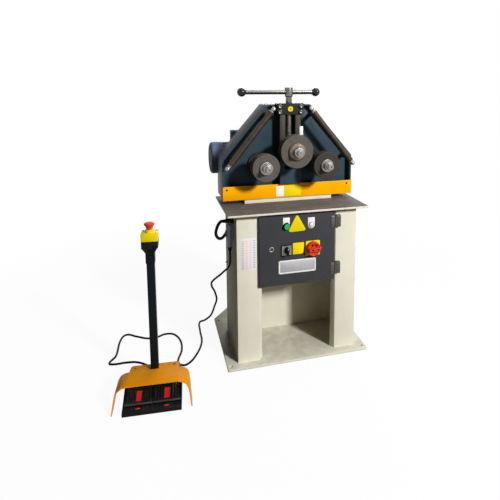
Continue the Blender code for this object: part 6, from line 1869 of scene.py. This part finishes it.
@dataclass
class Rolls(Assembly):
    """The three roll sets: grooved discs, shaft with its stub, washer or spacer and nut."""

    front: float = -138
    disc: float = 17
    groove: float = 16
    groove_depth: float = 34
    rear: float = -88
    bore: float = 20.3
    stub: float = 13.4
    stub_front: float = -197
    upper: Roll = Roll("upper", 0, 1044, 82.3)
    left: Roll = Roll("left", -154, 970, 68.2)
    # The right set's darker colour is painted shade, for the shade that lies over the head's right half.
    right: Roll = Roll("right", 154, 970, 68.2, "3b3733")
    spacer: Place = (35, 43, 15)
    washer: Pair = (32, 9)
    nuts: Pair = (27, 24)
    nut_depth: float = 24
    snout: Pair = (38, -56.3)
    flange: Pair = (56, 20.7)
    flange_depth: float = 11

    def build(self) -> None:
        """Makes the roll sets and the lower bearings."""
        self.roll_set(self.upper)
        for roll in (self.left, self.right):
            self.roll_set(roll)
            self.bearing(roll)

    def roll_set(self, roll: Roll) -> None:
        """Makes the discs, shaft and nut of one set, with its spacer or washer."""
        prefix, radius, body = roll.prefix, roll.radius, roll.body
        steel = Finishes.roll(f"{prefix}_roll_steel", roll.x, roll.z, roll.colour)
        bright = Finishes.stub(f"{prefix}_stub_steel", roll.x, roll.z)
        step = self.front + self.disc
        disc = roll.turned(
            "front_disc",
            [
                (self.bore, self.front), (radius - 14, self.front), (radius - 13.4, self.front + 0.5),
                (radius - 12.8, self.front), (radius - 2.4, self.front), (radius - 0.5, self.front + 1.6),
                (radius, self.front + 2.6), (radius, step - 0.8), (radius - 0.8, step), (self.bore, step)
            ],
            96
        )
        # The side faces of each disc, spacer and washer take the dark rim steel: painted shade for their dark
        # rims.
        pair = (steel, Finishes.rim)
        look = {"slot": "turned_steel", "smooth": 24, "second": self.is_side}
        self.take(disc, body, *pair, node=f"{prefix}_roll_front", **look)
        hub = step + GAP
        second = step + self.groove
        deep = radius - self.groove_depth
        disc = roll.turned(
            "rear_disc",
            [
                (self.bore, hub), (deep, hub), (deep, second - 1.5), (deep + 1.5, second),
                (radius - 0.8, second), (radius, second + 0.8), (radius, self.rear - 2.6),
                (radius - 0.5, self.rear - 1.6), (radius - 2.4, self.rear), (self.bore, self.rear)
            ],
            96
        )
        self.take(disc, body, *pair, node=f"{prefix}_roll_rear", **look)
        self.shaft(roll, bright)
        hole = self.stub + GAP
        if roll is self.upper:
            seat = self.front - 2 * GAP
            face, broad, depth = self.spacer
            front = seat - depth
            profile = [(hole, front), (face, front), (broad, front + 7), (broad, seat), (hole, seat)]
            spacer = roll.turned("spacer", profile, 64).bevelled(0.6)
            self.take(spacer, body, Finishes.spacer, Finishes.rim, node="upper_end_spacer", **look)
            self.nut(roll, front - GAP, self.nuts[0], bright)
        else:
            seat = self.front - GAP
            broad, depth = self.washer
            front = seat - depth
            profile = [(hole, front), (broad - 1.5, front), (broad, front + 1.5), (broad, seat), (hole, seat)]
            washer = roll.turned("washer", profile)
            self.take(washer, body, bright, Finishes.rim, node=f"{prefix}_lock_nut", **look)
            self.nut(roll, front, self.nuts[1], bright)

    @staticmethod
    def is_side(face: Any) -> bool:
        """Tells whether a turned piece's face looks away from its axis."""
        return abs(face.normal.y) < 0.5

    def shaft(self, roll: Roll, steel: Steel) -> None:
        """Turns a set's shaft: stub with thread rings and centre hole, roll seat and journal."""
        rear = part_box(f"{roll.prefix}_shaft")[1][1] / MM
        profile = [(0.0, self.stub_front + 6), (1.6, self.stub_front + 4.5), (4, self.stub_front + 1)]
        profile += [
            (5, self.stub_front), (self.stub - 1.8, self.stub_front), (self.stub, self.stub_front + 1.8)
        ]
        along = self.stub_front + 3
        while along < self.front - 10:
            profile += [(self.stub, along), (self.stub - 0.8, along + 0.5), (self.stub, along + 1.0)]
            along += 2.0
        profile += [(self.stub, self.front - 0.3), (20, self.front - 0.3), (20, self.rear + 0.3)]
        collar_rear = -21 if roll is self.upper else self.snout[1] - 1
        profile += [(30, self.rear + 0.3), (30, collar_rear), (20, collar_rear)]
        if roll is self.upper:
            profile += [(20, rear), (0, rear)]
        else:
            profile += [(20, rear - 3), (26, rear - 3), (26, rear), (0, rear)]
        shaft = roll.turned("shaft_fine", profile)
        self.take(shaft, roll.body, steel, slot="bright_steel", node=f"{roll.prefix}_shaft", smooth=28)

    def nut(self, roll: Roll, seat: float, radius: float, steel: Steel) -> None:
        """Makes a nut: a bored hexagon whose corners are turned off.

        Args:
            roll: Its roll set.
            seat: Where its rear face lies.
            radius: Its radius over the corners.
            steel: Its finish.
        """
        front = seat - self.nut_depth
        corners = arc(roll.x, roll.z, radius, 30, 390, 6)[:-1]
        nut = Shape.prism(f"{roll.prefix}_nut", corners, front, seat)
        round_radius, face_radius, hole = radius * 0.985, radius * 0.86, self.stub + 0.2
        profile = [
            (0, seat + 1), (round_radius, seat + 1), (round_radius, front + 6), (face_radius, front - 0.1)
        ]
        nut.combined(roll.turned("nut_trim", profile + [(0, front - 0.1)], 64), "INTERSECT")
        bore = roll.turned("nut_bore", [(0, seat + 4), (hole, seat + 4), (hole, front - 4), (0, front - 4)])
        nut.without(bore).bevelled(0.5)
        node = "upper_lock_nut" if roll is self.upper else ""
        self.take(nut, roll.body, steel, slot="bright_steel", node=node)

    def bearing(self, roll: Roll) -> None:
        """Turns a lower bearing's snout and flange."""
        radius, front = self.snout
        broad, step = self.flange
        seat = step + self.flange_depth
        bore = self.bore + 0.1
        profile = [
            (bore, front), (radius - 3, front), (radius, front + 3), (radius, step - 4), (radius + 3, step)
        ]
        profile += [
            (broad - 1.5, step), (broad, step + 1.5), (broad, seat), (44, seat), (44, seat + 30),
            (bore, seat + 30)
        ]
        piece = roll.turned("bearing_fine", profile, 64)
        self.take(piece, "stand", Finishes.rim, slot="turned_steel", node=f"{roll.prefix}_bearing", smooth=28)


@dataclass
class Drive(Assembly):
    """Gears, gearbox, motor and fan cover behind the head."""

    motor_y: float = 260
    motor_z: float = 973.208
    cover_radius: float = 86
    cover_round: float = 16

    def build(self) -> None:
        """Makes the drive's pieces."""
        for node in ("left_gear", "right_gear", "drive_pinion"):
            self.keep(node, Finishes.gear_steel)
        self.fine("gearbox", Finishes.casing, slot="petrol_paint", width=2.0, segments=3)
        self.fine("motor", Finishes.casing, slot="petrol_paint", width=0.9)
        self.fan_cover()

    def fan_cover(self) -> None:
        """Draws the fan cover, with rings of air slots in its end."""
        low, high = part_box("fan_cover")
        left, right = low[0] / MM, high[0] / MM
        flat = self.cover_radius - self.cover_round
        profile = [(0.0, left + 1.6)]
        for radius in (20, 30, 40, 50, 60):
            profile += [
                (radius - 4, left + 1.6), (radius - 3.4, left + 5), (radius - 0.6, left + 5),
                (radius, left + 1.6)
            ]
        profile += [(flat - 2, left)]
        for step in range(1, 7):
            angle = math.pi / 2 * step / 6
            profile.append(
                (flat + self.cover_round * math.sin(angle), left + self.cover_round * (1 - math.cos(angle)))
            )
        profile += [(self.cover_radius, right), (0, right)]
        cover = Shape.turned("fan_cover_fine", profile, (self.motor_y, self.motor_z), 64, Axis.X)
        bars = []
        for number in range(4):
            bar = Shape.block("cover_bar", (left + 1.4, left + 6), (-62, 62), (-2.5, 2.5))
            turn = Matrix.Rotation(math.radians(45 * number), 4, "X")
            bars.append(bar.placed(moved(0, self.motor_y, self.motor_z) @ turn))
        piece = cover.with_parts(*bars)
        self.take(piece, "stand", Finishes.casing, slot="black_plastic", node="fan_cover", smooth=30)


@dataclass
class PedalUnit(Assembly):
    """The foot pedals under their hood, the pole and the emergency-stop station."""

    place: Pair = (-714, -394)
    yaw: float = -4.5
    tread_width: float = 108
    divider: float = 8
    pivot: Pair = (38, 26)
    slope: float = 13
    tread_top: float = 3.5
    pole_y: float = 204
    hood_z: float = 74.3
    mark: Pair = (15, 20.7)
    hood_screw: Pair = (86, 216)
    socket_half: float = 19.7
    clamp_drop: float = 42
    station_low: float = 655.6
    box_height: float = 32
    cover_height: float = 34.5
    cover_screw: Pair = (28, 25.5)
    button_neck: float = 18

    def build(self) -> None:
        """Makes the pedal unit's pieces."""
        self.unit = moved(*self.place, 0) @ Matrix.Rotation(math.radians(self.yaw), 4, "Z")
        base = Shape.from_node("pedal_base")
        for side in (-1, 1):
            draft = [(side * 107.6, 76), (side * 123, 76), (side * 123, 38)]
            base.without(Shape.prism("base_draft", draft, 163, 240).placed(self.unit))
        base.bevelled(1.4, 3)
        self.take(base, "stand", Finishes.black, slot="black_plastic", node="pedal_base")
        self.fine("pedal_hood", Finishes.amber, slot="amber_paint", width=1.2, segments=3)
        self.fine("pole", Finishes.pole_paint, slot="black_paint", width=3.0, segments=3)
        self.fine("estop_base", Finishes.black, slot="black_plastic", width=1.2)
        self.fine("estop_cover", Finishes.station_yellow, slot="yellow_plastic", width=1.6, segments=3)
        self.treads()
        self.small_parts()
        self.mushroom()

    @property
    def cover_top(self) -> float:
        """Returns the height of the stop station's top."""
        return self.station_low + self.box_height + GAP + self.cover_height

    def treads(self) -> None:
        """Makes the ribbed treads' rounding and their red inserts."""
        slope = math.radians(self.slope)
        for side, node in ((-1, "left_pedal"), (1, "right_pedal")):
            self.fine(node, Finishes.tread_black, slot="black_plastic", width=0.5)
            middle = side * (self.divider / 2 + GAP + self.tread_width / 2)
            insert = Shape.block(
                f"{node}_insert", (-11, 11), (11, 62), (self.tread_top - 0.5, self.tread_top + 2.4)
            )
            insert.sunk(lambda face: face.normal.z > 0.9, 2.0, 0.5).bevelled(0.6)
            insert.placed(self.unit @ moved(middle, *self.pivot) @ Matrix.Rotation(slope, 4, "X"))
            self.take(insert, node, Finishes.tread_red, slot="red_plastic")
            oval = Shape.prism(
                f"{node}_mark", arc(middle + 7.5, 0, 2.8, -90, 90, 8) + arc(middle - 7.5, 0, 2.8, 90, 270, 8),
                0, 1.4, Axis.Z
            )
            tilt = Matrix.Rotation(math.atan2(8, 26), 4, "X")
            oval.placed(self.unit @ moved(0, *self.mark) @ tilt)
            self.take(oval.bevelled(0.25), "stand", Finishes.tread_red, slot="red_plastic")

    def small_parts(self) -> None:
        """Fixes the hood's screws, the socket's clamp and the cover's corner screws."""
        up = Matrix.Rotation(math.radians(90), 4, "X").inverted()
        head = self.fasteners.dome_screw(5.5, 2.0)
        for x in (-self.hood_screw[0], self.hood_screw[0]):
            place = self.unit @ moved(x, self.hood_screw[1], self.hood_z + 4)
            screw = head.copied(f"hood_screw_{x}").placed(place @ up)
            self.take(screw, "stand", Finishes.screw_black, slot="zinc")
        half = self.socket_half
        clamp = Shape.turned(
            "socket_clamp",
            [
                (0, -half - 7), (4, -half - 7), (6, -half - 5), (8, -half - 5), (8.5, -half - 4.5),
                (8.5, -half + 1), (0, -half + 1)
            ],
            (0, self.station_low - self.clamp_drop), 36
        )
        clamp.placed(self.unit @ moved(0, self.pole_y, 0))
        self.take(clamp, "stand", Finishes.black, slot="black_plastic")
        corner = self.fasteners.dome_screw(3.4, 1.3)
        across, along = self.cover_screw
        for x in (-across, across):
            for y in (-along, along):
                place = self.unit @ moved(x, self.pole_y + y, self.cover_top - GAP)
                screw = corner.copied(f"cover_screw_{x}_{y > 0}").placed(place @ up)
                self.take(screw, "stand", Finishes.screw_black, slot="zinc")

    def mushroom(self) -> None:
        """Turns the red mushroom button."""
        under = self.cover_top + self.button_neck
        profile = [(0, under - 12), (5, under - 12), (5, under), (15, under), (15, under + 5)]
        profile += [(17, under + 9), (21.4, under + 14), (23, under + 16.5), (23, under + 19.5)]
        profile += [
            (22.2, under + 21.5), (19.5, under + 23.5), (14, under + 24.7), (7, under + 25.3),
            (0, under + 25.5)
        ]
        cap = Shape.turned("stop_mushroom", profile, (0, self.pole_y), 48, Axis.Z)
        cap.placed(self.unit)
        self.take(cap, "estop_button", Finishes.red, slot="red_plastic", node="estop_button", smooth=40)


@dataclass
class CordEnds(Assembly):
    """The gland on the column and the coupler that joins the two cords."""

    gland: Pair = (-75, 710)
    seat: float = -306.8
    coupler: Pair = (-326, -75)
    coupler_top: float = 693

    def build(self) -> None:
        """Makes the gland, the coupler with its latch, and the cap where the cable leaves it."""
        end = self.seat - 50
        profile = [
            (0, self.seat), (15, self.seat), (15, self.seat - 4), (13, self.seat - 5), (13, self.seat - 13)
        ]
        profile += [(11, self.seat - 17), (11, end + 22)]
        for number in range(5):
            along = end + 21 - number * 4
            radius = 10.6 - number * 0.4
            profile += [
                (radius, along), (radius, along - 2.4), (radius - 1.2, along - 2.6), (radius - 1.2, along - 4)
            ]
        profile += [(9, end), (0, end)]
        gland = Shape.turned("gland_boot", profile, self.gland, 36, Axis.X)
        self.take(gland, "stand", Finishes.black, slot="black_plastic", node="cable_gland", smooth=30)
        self.fine("cable_coupler", Finishes.slate, slot="slate_plastic", width=0.8)
        x, y = self.coupler
        top = self.coupler_top
        low = top - 114
        for number, (z, radius) in enumerate(((top - 3, 16.9), (top - 47, 16.9), (top - 60, 15.9))):
            profile = [
                (10, z), (radius - 0.7, z), (radius, z - 0.8), (radius, z - 4), (radius - 0.7, z - 4.8)
            ]
            band = Shape.turned(f"coupler_ring_{number}", profile + [(10, z - 4.8)], self.coupler, 36, Axis.Z)
            self.take(band, "stand", Finishes.slate, slot="slate_plastic", smooth=35)
        latch = Shape.prism(
            "coupler_latch", plate_outline((y - 7, y + 7), (top - 60, top - 30), 3), x - 21, x - 13, Axis.X
        )
        self.take(latch.bevelled(1.2, 3), "stand", Finishes.latch, slot="slate_plastic")
        profile = [(9.6, low + 0.5), (12.4, low + 0.5), (12.4, low - 3), (10.4, low - 6), (9.6, low - 15)]
        profile += [(7.8, low - 19), (5.4, low - 19.2), (5.4, low + 0.5)]
        cap = Shape.turned("coupler_cap", profile, self.coupler, 36, Axis.Z)
        self.take(cap, "stand", Finishes.black, slot="black_plastic", smooth=35)


def main() -> None:
    """Builds the look round the frame, in order."""
    logging.basicConfig(level=logging.INFO, format="%(message)s")
    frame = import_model()
    fasteners = Fasteners()
    bodies = frame["record"]["behaviour"]["bodies"]
    body_of = {node: body for body, nodes in bodies.items() for node in nodes}
    Studio().build()
    for assembly in (Cords, Stand, Cabinet, RollHead, Rolls, Drive, PedalUnit, CordEnds):
        assembly(fasteners, body_of).build()
        LOG.info("%s is done", assembly.__name__)
    fasteners.clear_up()
    Shape.clear()


if __name__ == "__main__":
    main()
